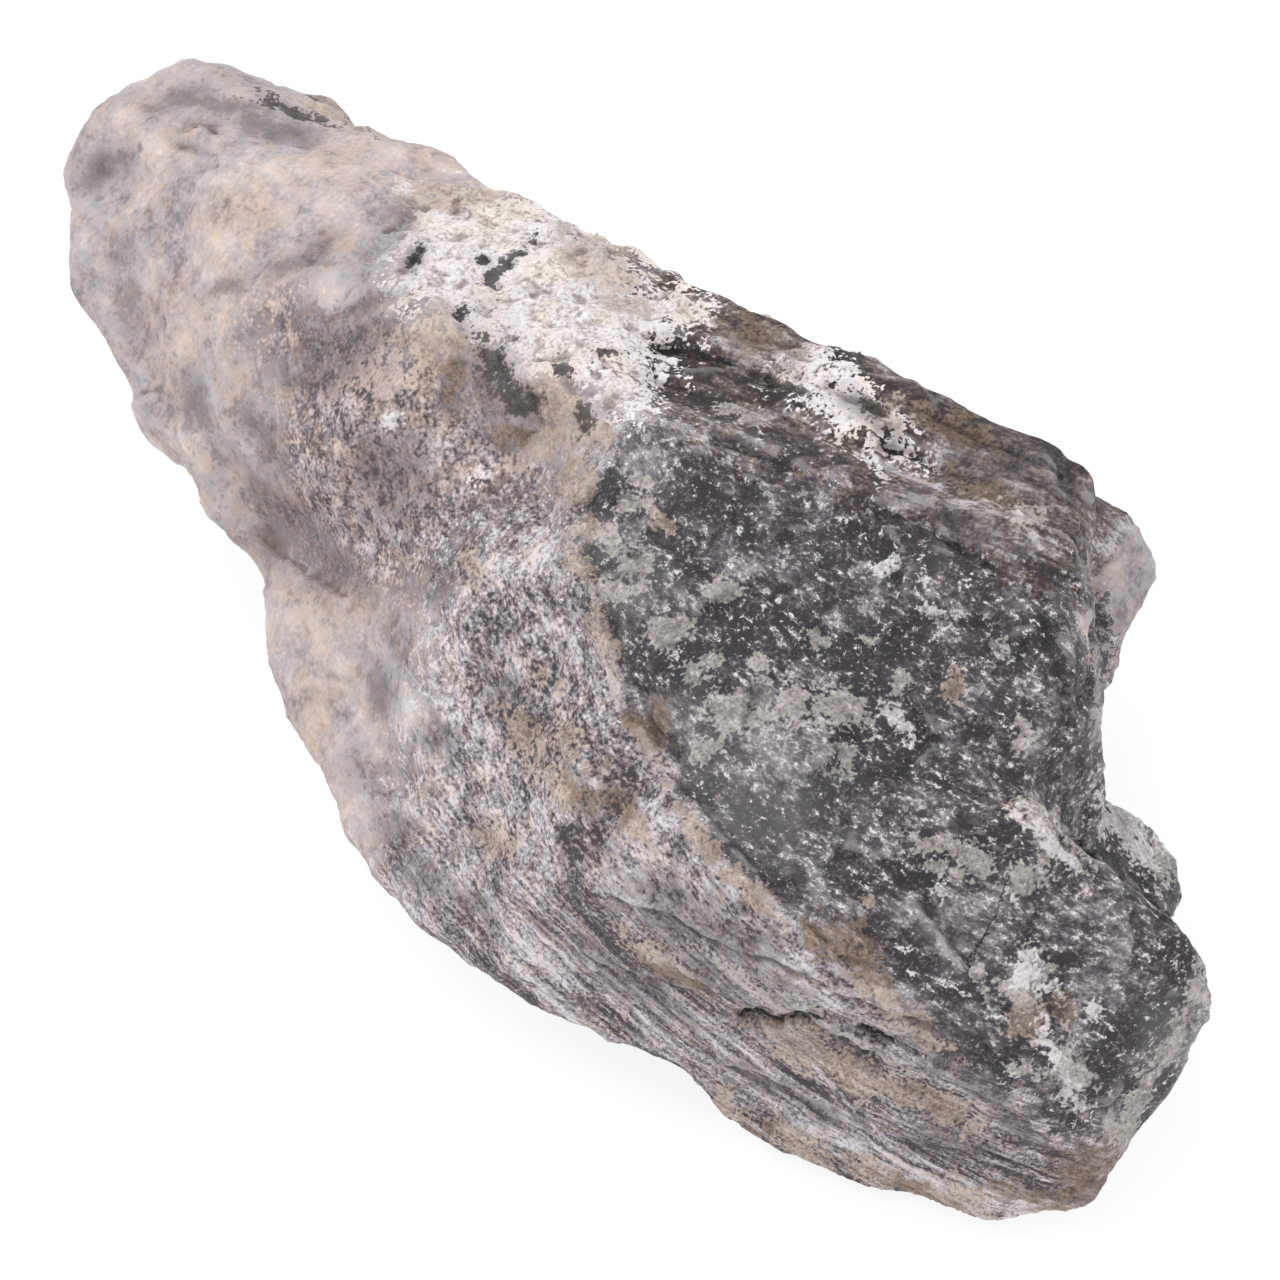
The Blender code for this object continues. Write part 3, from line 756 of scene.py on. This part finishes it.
def numbers(piece: Piece, name: str) -> np.ndarray:
    """Read one number a point back."""
    values = np.empty(len(piece.data.vertices))
    piece.data.attributes[name].data.foreach_get("value", values)
    return values


def vectors(piece: Piece, name: str) -> np.ndarray:
    """Read three numbers a point back."""
    values = np.empty(len(piece.data.vertices) * 3)
    piece.data.attributes[name].data.foreach_get("vector", values)
    return values.reshape(-1, 3)


def relaxed(piece: Piece, values: np.ndarray, turns: int) -> np.ndarray:
    """Average a number with its neighbours along the edges.

    Args:
        piece: the mesh whose edges join the points
        values: one number a point
        turns: how often the numbers are averaged

    Returns:
        The averaged numbers.
    """
    pairs = np.empty(len(piece.data.edges) * 2, int)
    piece.data.edges.foreach_get("vertices", pairs)
    ends, others = pairs.reshape(-1, 2).T
    count = np.bincount(ends, minlength=len(values)) + np.bincount(others, minlength=len(values))
    for _ in range(turns):
        total = np.bincount(ends, values[others], len(values))
        total = total + np.bincount(others, values[ends], len(values))
        values = 0.5 * values + 0.5 * total / np.maximum(count, 1)
    return values


def sketch_directions(directions: np.ndarray) -> np.ndarray:
    """Turn directions of the world into the sketch's."""
    return directions @ np.array(LAY)


def in_sketch(places: np.ndarray) -> tuple[np.ndarray, np.ndarray]:
    """Put the stone's points into the sketch.

    Args:
        places: points in metres

    Returns:
        Their places in the sketch, mm, and where the eye sees them, x and y in mm.
    """
    sketch = (places / MM - np.array(SHIFT)) @ np.array(LAY)
    spread = (EYE_DISTANCE - sketch[:, 2]) / EYE_DISTANCE
    return sketch, sketch[:, :2] / spread[:, None]


class Bench:
    """A node tree with short words for the nodes that the finishes use.

    Args:
        tree: the material's or the group's node tree
    """

    def __init__(self, tree: Tree) -> None:
        """Start with the tree as it is."""
        self.tree = tree

    def put(self, socket: Socket, feed: Feed) -> None:
        """Join a socket to another, or set its value."""
        if isinstance(feed, Socket):
            self.tree.links.new(feed, socket)
        else:
            socket.default_value = feed

    def add(self, kind: str, **settings: object) -> bpy.types.Node:
        """Add a node and set its properties."""
        node = self.tree.nodes.new(kind)
        for name, value in settings.items():
            setattr(node, name, value)
        return node

    def math(self, operation: str, first: Feed, second: Feed = 0.0, third: Feed = 0.0) -> Socket:
        """Reckon with one to three values."""
        node = self.add("ShaderNodeMath", operation=operation)
        for socket, feed in zip(node.inputs, (first, second, third)):
            self.put(socket, feed)
        return node.outputs[0]

    def parts(self, *shares: tuple[Feed, float]) -> Socket:
        """Add values, each by its share."""
        total = self.math("MULTIPLY", *shares[0])
        for value, share in shares[1:]:
            total = self.math("MULTIPLY_ADD", value, share, total)
        return total

    def scaled(self, vector: Feed, scale: Sequence[float]) -> Socket:
        """Multiply a vector part by part."""
        node = self.add("ShaderNodeVectorMath", operation="MULTIPLY")
        self.put(node.inputs[0], vector)
        node.inputs[1].default_value = scale
        return node.outputs[0]

    def noise(self, vector: Feed, scale: Feed, detail: float) -> Socket:
        """Soft noise with finer noise laid over it, 0 to 1."""
        node = self.add("ShaderNodeTexNoise")
        self.put(node.inputs["Vector"], vector)
        self.put(node.inputs["Scale"], scale)
        node.inputs["Detail"].default_value = detail
        node.inputs["Roughness"].default_value = GRAIN_ROUGHNESS
        return node.outputs["Fac"]

    def crystals(self, vector: Feed, scale: Feed) -> Socket:
        """Angular cells, each with a colour of chance."""
        node = self.add("ShaderNodeTexVoronoi", feature="F1", distance="EUCLIDEAN")
        self.put(node.inputs["Vector"], vector)
        self.put(node.inputs["Scale"], scale)
        return node.outputs["Color"]

    def drawn_out(self, course: Feed, along: Feed) -> Socket:
        """Draw a pattern out along its course, to 1 / along of its length."""
        stretch = self.add("ShaderNodeCombineXYZ")
        stretch.inputs[0].default_value = 1.0
        stretch.inputs[2].default_value = 1.0
        self.put(stretch.inputs[1], along)
        node = self.add("ShaderNodeVectorMath", operation="MULTIPLY")
        self.put(node.inputs[0], course)
        self.put(node.inputs[1], stretch.outputs[0])
        return node.outputs[0]

    def rise(self, value: Feed, low: Feed, high: Feed, top: Feed = 1.0) -> Socket:
        """Rise smoothly from 0 at low to the top at high."""
        node = self.add("ShaderNodeMapRange", interpolation_type="SMOOTHSTEP")
        self.put(node.inputs["Value"], value)
        self.put(node.inputs["From Min"], low)
        self.put(node.inputs["From Max"], high)
        self.put(node.inputs["To Max"], top)
        return node.outputs["Result"]

    def mix(self, factor: Feed, first: Feed, second: Feed, blend: str = "MIX") -> Socket:
        """Mix two colours."""
        node = self.add("ShaderNodeMix", data_type="RGBA", blend_type=blend)
        self.put(node.inputs["Factor"], factor)
        self.put(node.inputs[6], first)
        self.put(node.inputs[7], second)
        return node.outputs[2]

    def blend(self, factor: Feed, first: Feed, second: Feed) -> Socket:
        """Mix two values."""
        node = self.add("ShaderNodeMix", data_type="FLOAT")
        self.put(node.inputs["Factor"], factor)
        self.put(node.inputs[2], first)
        self.put(node.inputs[3], second)
        return node.outputs[0]

    def shades(self, value: Feed, steps: Sequence[tuple[float, Tone]]) -> Socket:
        """Turn a value into colours that run from step to step."""
        node = self.add("ShaderNodeValToRGB")
        self.put(node.inputs[0], value)
        ramp = node.color_ramp
        for place, colour in steps[2:]:
            ramp.elements.new(place)
        for element, (place, colour) in zip(ramp.elements, sorted(steps)):
            element.position = place
            element.color = colour
        return node.outputs[0]

    def field(self, name: str) -> Socket:
        """Read one of the skin's numbers."""
        return self.add("ShaderNodeAttribute", attribute_name=name).outputs["Fac"]

    def course(self, name: str) -> Socket:
        """Read one of the skin's vectors."""
        return self.add("ShaderNodeAttribute", attribute_name=name).outputs["Vector"]

    def group(self, tree: Tree, *feeds: Feed) -> Sequence[Socket]:
        """Place a group, feed its inputs in their order and hand back its outputs."""
        node = self.add("ShaderNodeGroup", node_tree=tree)
        for socket, feed in zip(node.inputs, feeds):
            self.put(socket, feed)
        return node.outputs


def new_group(name: str, inputs: dict[str, float | str], outputs: Sequence[str]) -> tuple[Tree, Bench]:
    """Start a shader node group.

    Args:
        name: the group's name
        inputs: each input with its default value, or "vector"
        outputs: the outputs, each of them a value

    Returns:
        The group's tree and a bench on it.
    """
    tree = bpy.data.node_groups.new(name, "ShaderNodeTree")
    for label, default in inputs.items():
        kind = "NodeSocketVector" if default == "vector" else "NodeSocketFloat"
        socket = tree.interface.new_socket(label, in_out="INPUT", socket_type=kind)
        if default != "vector":
            socket.default_value = default
    for label in outputs:
        tree.interface.new_socket(label, in_out="OUTPUT", socket_type="NodeSocketFloat")
    return tree, Bench(tree)


@dataclass(frozen=True)
class Groups:
    """The effects that several parts of the finish share."""

    ragged: Tree
    grain: Tree
    fibre: Tree

    @classmethod
    def make(cls) -> "Groups":
        """Build each group once."""
        return cls(cls.ragged_edge(), cls.mineral_grain(), cls.fibre_grain())

    @staticmethod
    def ragged_edge() -> Tree:
        """A mask whose edge is torn by the grain: from a distance field to 0 or 1."""
        inputs = {"Field": 0.0, "Grain": 0.5, "Torn": 1.0, "Soft": 0.1}
        tree, bench = new_group("ragged_edge", inputs, ("Mask",))
        start = bench.add("NodeGroupInput").outputs
        torn = bench.math("SUBTRACT", start["Grain"], 0.5)
        moved = bench.math("MULTIPLY_ADD", torn, start["Torn"], start["Field"])
        mask = bench.rise(moved, bench.math("MULTIPLY", start["Soft"], -1.0), start["Soft"])
        bench.put(bench.add("NodeGroupOutput").inputs["Mask"], mask)
        return tree

    @staticmethod
    def mineral_grain() -> Tree:
        """Crystalline grain along a course: broken noise with angular crystals in it, about 0.5."""
        inputs = {"Course": "vector", "Scale": 1.0, "Along": 0.5}
        tree, bench = new_group("mineral_grain", inputs, ("Value", "Soft"))
        start = bench.add("NodeGroupInput").outputs
        course = bench.drawn_out(start["Course"], start["Along"])
        soft = bench.noise(course, start["Scale"], 3.0)
        colour = bench.crystals(course, bench.math("MULTIPLY", start["Scale"], CRYSTAL_SCALE))
        chance = bench.add("ShaderNodeSeparateColor")
        bench.put(chance.inputs[0], colour)
        part = bench.math("MULTIPLY_ADD", chance.outputs[0], CRYSTAL_REACH, -0.5 * CRYSTAL_REACH)
        end = bench.add("NodeGroupOutput")
        bench.put(end.inputs["Value"], bench.math("ADD", soft, part))
        bench.put(end.inputs["Soft"], soft)
        return tree

    @staticmethod
    def fibre_grain() -> Tree:
        """Plain fibres along a course, about 0.5."""
        inputs = {"Course": "vector", "Scale": 1.0, "Along": 0.2}
        tree, bench = new_group("fibre_grain", inputs, ("Value",))
        start = bench.add("NodeGroupInput").outputs
        course = bench.drawn_out(start["Course"], start["Along"])
        value = bench.noise(course, start["Scale"], 2.0)
        bench.put(bench.add("NodeGroupOutput").inputs["Value"], value)
        return tree


@dataclass(frozen=True)
class Ramp:
    """The tones of one mineral ground, from its darkest grains to its lightest.

    Args:
        tones: those of the darkest tenth, the lower part, the middle, the upper part and the lightest grains
        spread: how far from the middle of the grain's value the darkest tenth lies
    """

    tones: tuple[Tone, Tone, Tone, Tone, Tone]
    spread: float

    def steps(self) -> tuple[tuple[float, Tone], ...]:
        """The ramp's places and colours, in the order that a ramp node takes them."""
        places = (-1.0, -0.4, 0.0, 0.4, 1.25)
        return tuple((0.5 + place * self.spread, colour) for place, colour in zip(places, self.tones))


RIND = Ramp((tone(134, 124, 125), tone(166, 156, 156), tone(178, 168, 167),
             tone(188, 177, 175), tone(214, 203, 199)), 0.14)
NECK = Ramp((tone(76, 68, 72), tone(120, 110, 111), tone(146, 134, 133),
             tone(164, 151, 149), tone(206, 195, 193)), 0.09)
FIBRE = Ramp((tone(68, 61, 65), tone(120, 112, 115), tone(148, 140, 142),
              tone(169, 161, 163), tone(214, 207, 210)), 0.068)
BAND = Ramp((tone(52, 44, 43), tone(83, 73, 70), tone(103, 93, 89),
             tone(127, 117, 114), tone(196, 189, 189)), 0.076)
FACE = Ramp((tone(38, 33, 39), tone(54, 48, 54), tone(68, 62, 68),
             tone(84, 78, 84), tone(126, 119, 124)), 0.07)
CRUST = Ramp((tone(172, 163, 162), tone(212, 205, 203), tone(224, 217, 216),
              tone(232, 226, 226), tone(245, 241, 243)), 0.12)
# The last tone here is a painted highlight: the white of specks that stand for light glinting off cleavage
# planes.
FLECK, SPECK, PAINTED_GLINT = tone(184, 178, 181), tone(130, 124, 127), tone(228, 223, 226)
# The second tone here is painted shade and dirt in the relief's hollows, the third a painted highlight on its
# crests.
GREEN_GROUND, HOLLOW_SHADE_AND_DIRT, CREST_HIGHLIGHT = tone(118, 118, 113), tone(120, 108, 104), tone(205, 200, 200)
WARM = ((0.36, (0.94, 0.985, 1.05, 1.0)), (0.64, (1.08, 0.985, 0.89, 1.0)), (0.5, (1.0, 1.0, 1.0, 1.0)))
CREAM_TINT = (0.97, 0.92, 0.80, 1.0)
MOTTLE = ((0.43, (0.5, 0.48, 0.49, 1.0)), (0.58, (1.35, 1.35, 1.35, 1.0)), (0.5, (1.0, 1.0, 1.0, 1.0)))

# Grains to the millimetre, and how much a straight fibre's pattern is drawn out in depth.
FINE_GRAIN, MIDDLE_GRAIN, SLANT_GRAIN, MATTED_GRAIN, COMBED_GRAIN, BED_GRAIN = 6.0, 1.5, 3.0, 3.6, 4.6, 3.0
DEEP = (1.0, 1.0, 0.3)

# Each rise starts at its first value and is full at its second, where it covers as much as its third.
FLECK_RISE, SPECK_RISE, PAINTED_GLINT_RISE = (0.56, 0.63, 0.78), (0.53, 0.6, 0.5), (0.59, 0.63, 0.85)
CREAM_RISE, GREEN_RISE = (0.5, 0.62, 0.6), (-0.5, 0.7, 0.9)
# These darken the relief's hollows with painted shade and dirt, and light its crests with a painted
# highlight.
HOLLOW_SHADE_AND_DIRT_RISE, CREST_HIGHLIGHT_RISE = (-0.01, -0.12, 0.6), (0.03, 0.12, 0.25)

# How torn and how soft each zone's edge is.
ZONE_EDGES: dict[Zone, tuple[float, float]] = {
    Zone.NECK: (12.0, 1.2), Zone.FIBRE: (12.0, 1.0), Zone.BAND: (6.0, 0.4), Zone.FACE: (9.0, 0.3),
    Zone.CRUST: (8.0, 0.15),
}
DULL, SHINY = 0.85, 0.45        # roughness of the weathered stone, and the least roughness of the fresh face
BUMP = 0.14 * MM                # height of the grain that is too fine for the skin's points


@dataclass(frozen=True)
class MarkFinish:
    """How one small mineral is laid over the ground.

    Args:
        colour: its tone
        torn: how torn its edge is
        soft: how soft its edge is
        cover: how much of the ground it hides
        grained: how much of the grain shows in it
    """

    colour: Tone
    torn: float
    soft: float
    cover: float
    grained: float = 0.8


MARK_FINISHES: dict[Mineral, MarkFinish] = {
    Mineral.PEACH: MarkFinish(tone(200, 180, 170), 7.0, 0.5, 0.45, 0.2),
    Mineral.DARK: MarkFinish(tone(84, 77, 81), 7.0, 0.8, 0.6, 0.9),
    Mineral.TAN: MarkFinish(tone(172, 154, 140), 5.0, 0.2, 0.64),
    Mineral.HONEY: MarkFinish(tone(118, 100, 84), 5.0, 0.2, 0.72),
    Mineral.PALE: MarkFinish(tone(173, 166, 161), 4.5, 0.14, 0.75),
    Mineral.WHITE: MarkFinish(tone(212, 206, 207), 6.0, 0.25, 0.78, 0.6),
    Mineral.SLATE: MarkFinish(tone(72, 67, 62), 6.0, 0.12, 0.88),
    Mineral.BLACK: MarkFinish(tone(50, 45, 48), 8.0, 0.12, 0.9),
}
# The tone of the cracks' lines, and of the painted shadow lines under the top band's ledges.
CRACK_AND_SHADOW_TONE = tone(38, 34, 35)


@dataclass
class Finish:
    """The stone's one material: every mineral in its place.

    Args:
        groups: the shared effects
    """

    groups: Groups

    def dress(self, stone: Piece) -> None:
        """Make the material and give it to the stone.

        Args:
            stone: the finished skin
        """
        material = bpy.data.materials.new("labradorite")
        material.use_nodes = True
        tree = material.node_tree
        tree.nodes.clear()
        bench = Bench(tree)
        place = bench.scaled(bench.add("ShaderNodeTexCoord").outputs["Object"], (1.0 / MM,) * 3)
        shader = bench.add("ShaderNodeBsdfPrincipled")
        shader.inputs["IOR"].default_value = 1.5
        flow, bed = bench.course("flow"), bench.course("bed")
        grit = bench.group(self.groups.grain, place, FINE_GRAIN, 0.8)
        fine, broad, facet = grit["Value"], bench.field("broad"), bench.field("facet")
        fibre = self.groups.fibre
        middle = bench.group(fibre, place, MIDDLE_GRAIN, 0.8)[0]
        slant = bench.group(self.groups.grain, flow, SLANT_GRAIN, 0.42)["Value"]
        loose = bench.group(fibre, flow, MATTED_GRAIN, 0.3)[0]
        straight = bench.group(fibre, bench.scaled(flow, DEEP), COMBED_GRAIN, 0.05)[0]
        strands = bench.blend(bench.field("combed"), loose, straight)
        bedded = bench.group(fibre, bench.scaled(bed, DEEP), BED_GRAIN, 0.1)[0]
        torn = bench.parts((middle, 0.65), (fine, 0.35))
        tint = bench.shades(bench.field("warm"), WARM)
        tint_fine = bench.shades(bench.field("warm_fine"), WARM)
        even = bench.parts((broad, 0.45), (middle, 0.4), (fine, 0.15))
        colour = bench.mix(0.6, bench.shades(even, RIND.steps()), tint, "MULTIPLY")
        colour = bench.mix(0.5, colour, tint_fine, "MULTIPLY")
        dusky = bench.parts((slant, 0.25), (middle, 0.4), (fine, 0.35))
        matted = bench.parts((strands, 0.32), (fine, 0.3), (broad, 0.2), (middle, 0.18))
        combed = bench.parts((strands, 0.4), (fine, 0.35), (bench.field("streaks"), 0.25))
        along = bench.math("MULTIPLY_ADD", facet, 0.035, bench.blend(bench.field("combed"), matted, combed))
        layers = bench.parts((bedded, 0.2), (middle, 0.2), (slant, 0.2), (fine, 0.2),
                            (bench.field("layers"), 0.2), (facet, 0.1))
        crust = bench.shades(bench.parts((middle, 0.4), (fine, 0.6)), CRUST.steps())
        cream = bench.rise(bench.field("warm"), *CREAM_RISE)
        grounds = {
            Zone.NECK: bench.mix(0.9, bench.shades(dusky, NECK.steps()), tint_fine, "MULTIPLY"),
            Zone.FIBRE: bench.mix(0.7, bench.shades(along, FIBRE.steps()), tint_fine, "MULTIPLY"),
            Zone.BAND: bench.mix(0.6, bench.shades(layers, BAND.steps()), tint_fine, "MULTIPLY"),
            Zone.FACE: self.face(bench, broad, middle, slant, fine),
            Zone.CRUST: bench.mix(cream, crust, CREAM_TINT, "MULTIPLY"),
        }
        masks = {}
        for zone, edge in ZONE_EDGES.items():
            masks[zone] = bench.group(self.groups.ragged, bench.field(zone.value), torn, *edge)[0]
            colour = bench.mix(masks[zone], colour, grounds[zone])
        colour = self.marks(bench, colour, torn, bench.parts((fine, 0.5), (slant, 0.3), (broad, 0.2)))
        relief = bench.field("relief")
        # Painted shade and dirt in the hollows of the relief.
        colour = bench.mix(bench.rise(relief, *HOLLOW_SHADE_AND_DIRT_RISE), colour, HOLLOW_SHADE_AND_DIRT, "MULTIPLY")
        # Painted highlight on the crests of the relief, where light catches the edges.
        colour = bench.mix(bench.rise(relief, *CREST_HIGHLIGHT_RISE), colour, CREST_HIGHLIGHT)
        bench.put(shader.inputs["Base Color"], colour)
        rough = bench.blend(masks[Zone.FACE], DULL, bench.rise(fine, 0.4, 0.6, 0.75))
        bench.put(shader.inputs["Roughness"], bench.math("MAXIMUM", rough, SHINY))
        height = bench.math("MULTIPLY", grit["Soft"], bench.field("firm"))
        height = bench.math("MULTIPLY_ADD", strands, bench.field("fibred"), height)
        bump = bench.add("ShaderNodeBump")
        bump.inputs["Distance"].default_value = BUMP
        bench.put(bump.inputs["Height"], height)
        bench.put(shader.inputs["Normal"], bump.outputs[0])
        output = bench.add("ShaderNodeOutputMaterial")
        bench.put(output.inputs["Surface"], shader.outputs[0])
        stone.data.materials.append(material)

    def face(self, bench: Bench, broad: Feed, middle: Feed, slant: Feed, fine: Feed) -> Socket:
        """The fresh face: slate feldspar full of angular pale flecks, with white specks painted as glints of
        light off its cleavage planes.

        Args:
            bench: the material's bench
            broad, middle, slant, fine: grains of several sizes

        Returns:
            Its colour.
        """
        facet = bench.field("facet")
        ground = bench.parts((broad, 0.45), (slant, 0.35), (fine, 0.2), (facet, 0.075))
        colour = bench.shades(ground, FACE.steps())
        green = bench.rise(bench.field(Mineral.GREEN.value), *GREEN_RISE)
        colour = bench.mix(green, colour, bench.mix(0.4, colour, GREEN_GROUND))
        thick = bench.math("MULTIPLY_ADD", bench.math("SUBTRACT", broad, 0.5), 0.5, slant)
        thick = bench.math("MULTIPLY_ADD", facet, 0.06, thick)
        specks = bench.rise(bench.parts((fine, 0.7), (middle, 0.3)), *SPECK_RISE)
        # Painted glints: white specks that stand for light reflected off cleavage planes.
        painted_glints = bench.rise(bench.parts((fine, 0.5), (slant, 0.5)), *PAINTED_GLINT_RISE)
        colour = bench.mix(specks, colour, SPECK)
        fleck = bench.mix(bench.rise(fine, 0.4, 0.58), SPECK, FLECK)
        colour = bench.mix(bench.rise(thick, *FLECK_RISE), colour, fleck)
        return bench.mix(painted_glints, colour, PAINTED_GLINT)

    def marks(self, bench: Bench, colour: Feed, torn: Feed, even: Feed) -> Socket:
        """Lay the small minerals, the cracks and the painted shadow lines under the top band's ledges over
        the ground.

        Args:
            bench: the material's bench
            colour: the ground's colour
            torn: the grain that tears the minerals' edges
            even: the grain that the minerals share with the ground

        Returns:
            The colour with the minerals, the cracks and the painted shadow lines.
        """
        mottle = bench.shades(even, MOTTLE)
        for mineral, finish in MARK_FINISHES.items():
            field = bench.field(mineral.value)
            mask = bench.group(self.groups.ragged, field, torn, finish.torn, finish.soft)[0]
            grained = bench.mix(finish.grained, finish.colour, mottle, "MULTIPLY")
            colour = bench.mix(bench.math("MULTIPLY", mask, finish.cover), colour, grained)
        # Dark lines along the cracks; on the top band they are painted shadow under the ledges.
        shaken = bench.math("MULTIPLY_ADD", bench.math("SUBTRACT", torn, 0.5), 0.7, bench.field("crack_side"))
        across = bench.math("ABSOLUTE", shaken)
        gap = bench.rise(bench.math("SUBTRACT", bench.field("crack_open"), across), -0.03, 0.02)
        return bench.mix(gap, colour, CRACK_AND_SHADOW_TONE)


@dataclass
class Studio:
    """A white floor in soft white light, and the eye.

    Args:
        floor_size: side of the floor, m
        grey: how bright the floor is of itself
        glow: how much light the floor gives, as a lit table does
        sky: strength of the even light from all round
        key: power of the soft light overhead, W
        key_size: side of that light, m
        key_place: where it hangs in the sketch's directions, m
    """

    floor_size: float = 3.0
    grey: float = 0.22
    glow: float = 0.82
    sky: float = 1.0
    key: float = 0.35
    key_size: float = 0.25
    key_place: tuple[float, float, float] = (-0.12, 0.22, 0.22)

    def build(self) -> None:
        """Set up the floor, the lights, the eye and the plain display colours."""
        self.lay_floor()
        self.hang_lights()
        self.set_eye()
        bpy.context.scene.view_settings.view_transform = "Standard"

    def lay_floor(self) -> None:
        """Lay the plain white floor."""
        bpy.ops.object.select_all(action="DESELECT")
        bpy.ops.mesh.primitive_plane_add(size=self.floor_size)
        floor = bpy.context.active_object
        floor.name = "floor"
        material = bpy.data.materials.new("white_floor")
        material.use_nodes = True
        shader = material.node_tree.nodes["Principled BSDF"]
        shader.inputs["Base Color"].default_value = (self.grey, self.grey, self.grey, 1.0)
        shader.inputs["Emission Color"].default_value = (1.0, 1.0, 1.0, 1.0)
        shader.inputs["Emission Strength"].default_value = self.glow
        shader.inputs["Roughness"].default_value = 0.9
        floor.data.materials.append(material)

    def hang_lights(self) -> None:
        """Light the tent evenly and hang one large soft light overhead."""
        world = bpy.data.worlds.new("white_tent")
        bpy.context.scene.world = world
        world.use_nodes = True
        background = world.node_tree.nodes["Background"]
        background.inputs["Color"].default_value = (1.0, 1.0, 1.0, 1.0)
        background.inputs["Strength"].default_value = self.sky
        lamp = bpy.data.lights.new("overhead", "AREA")
        lamp.size = self.key_size
        lamp.energy = self.key
        holder = bpy.data.objects.new("overhead", lamp)
        bpy.context.scene.collection.objects.link(holder)
        spot = LAY.to_4x4() @ Vector(self.key_place)
        turn = spot.to_track_quat("Z", "Y").to_matrix().to_4x4()
        holder.matrix_world = Matrix.Translation(spot) @ turn

    def set_eye(self) -> None:
        """Put the camera where the photograph's eye is."""
        data = bpy.data.cameras.new("eye")
        data.sensor_width = 36.0
        data.lens = data.sensor_width * EYE_DISTANCE / PICTURE_WIDTH
        data.clip_start = 0.01
        eye = bpy.data.objects.new("eye", data)
        bpy.context.scene.collection.objects.link(eye)
        shift = Matrix.Translation(Vector(SHIFT) * MM)
        eye.matrix_world = shift @ LAY.to_4x4() @ Matrix.Translation((0.0, 0.0, EYE_DISTANCE * MM))
        bpy.context.scene.camera = eye


def main() -> None:
    """Build the stone and the studio."""
    logging.basicConfig(level=logging.INFO, format="%(name)s: %(message)s")
    stone = Skin().build()
    Finish(Groups.make()).dress(stone)
    log.info("%s: %d faces", stone.name, len(stone.data.polygons))
    Studio().build()
    log.info("studio: floor, light and eye")


if __name__ == "__main__":
    main()
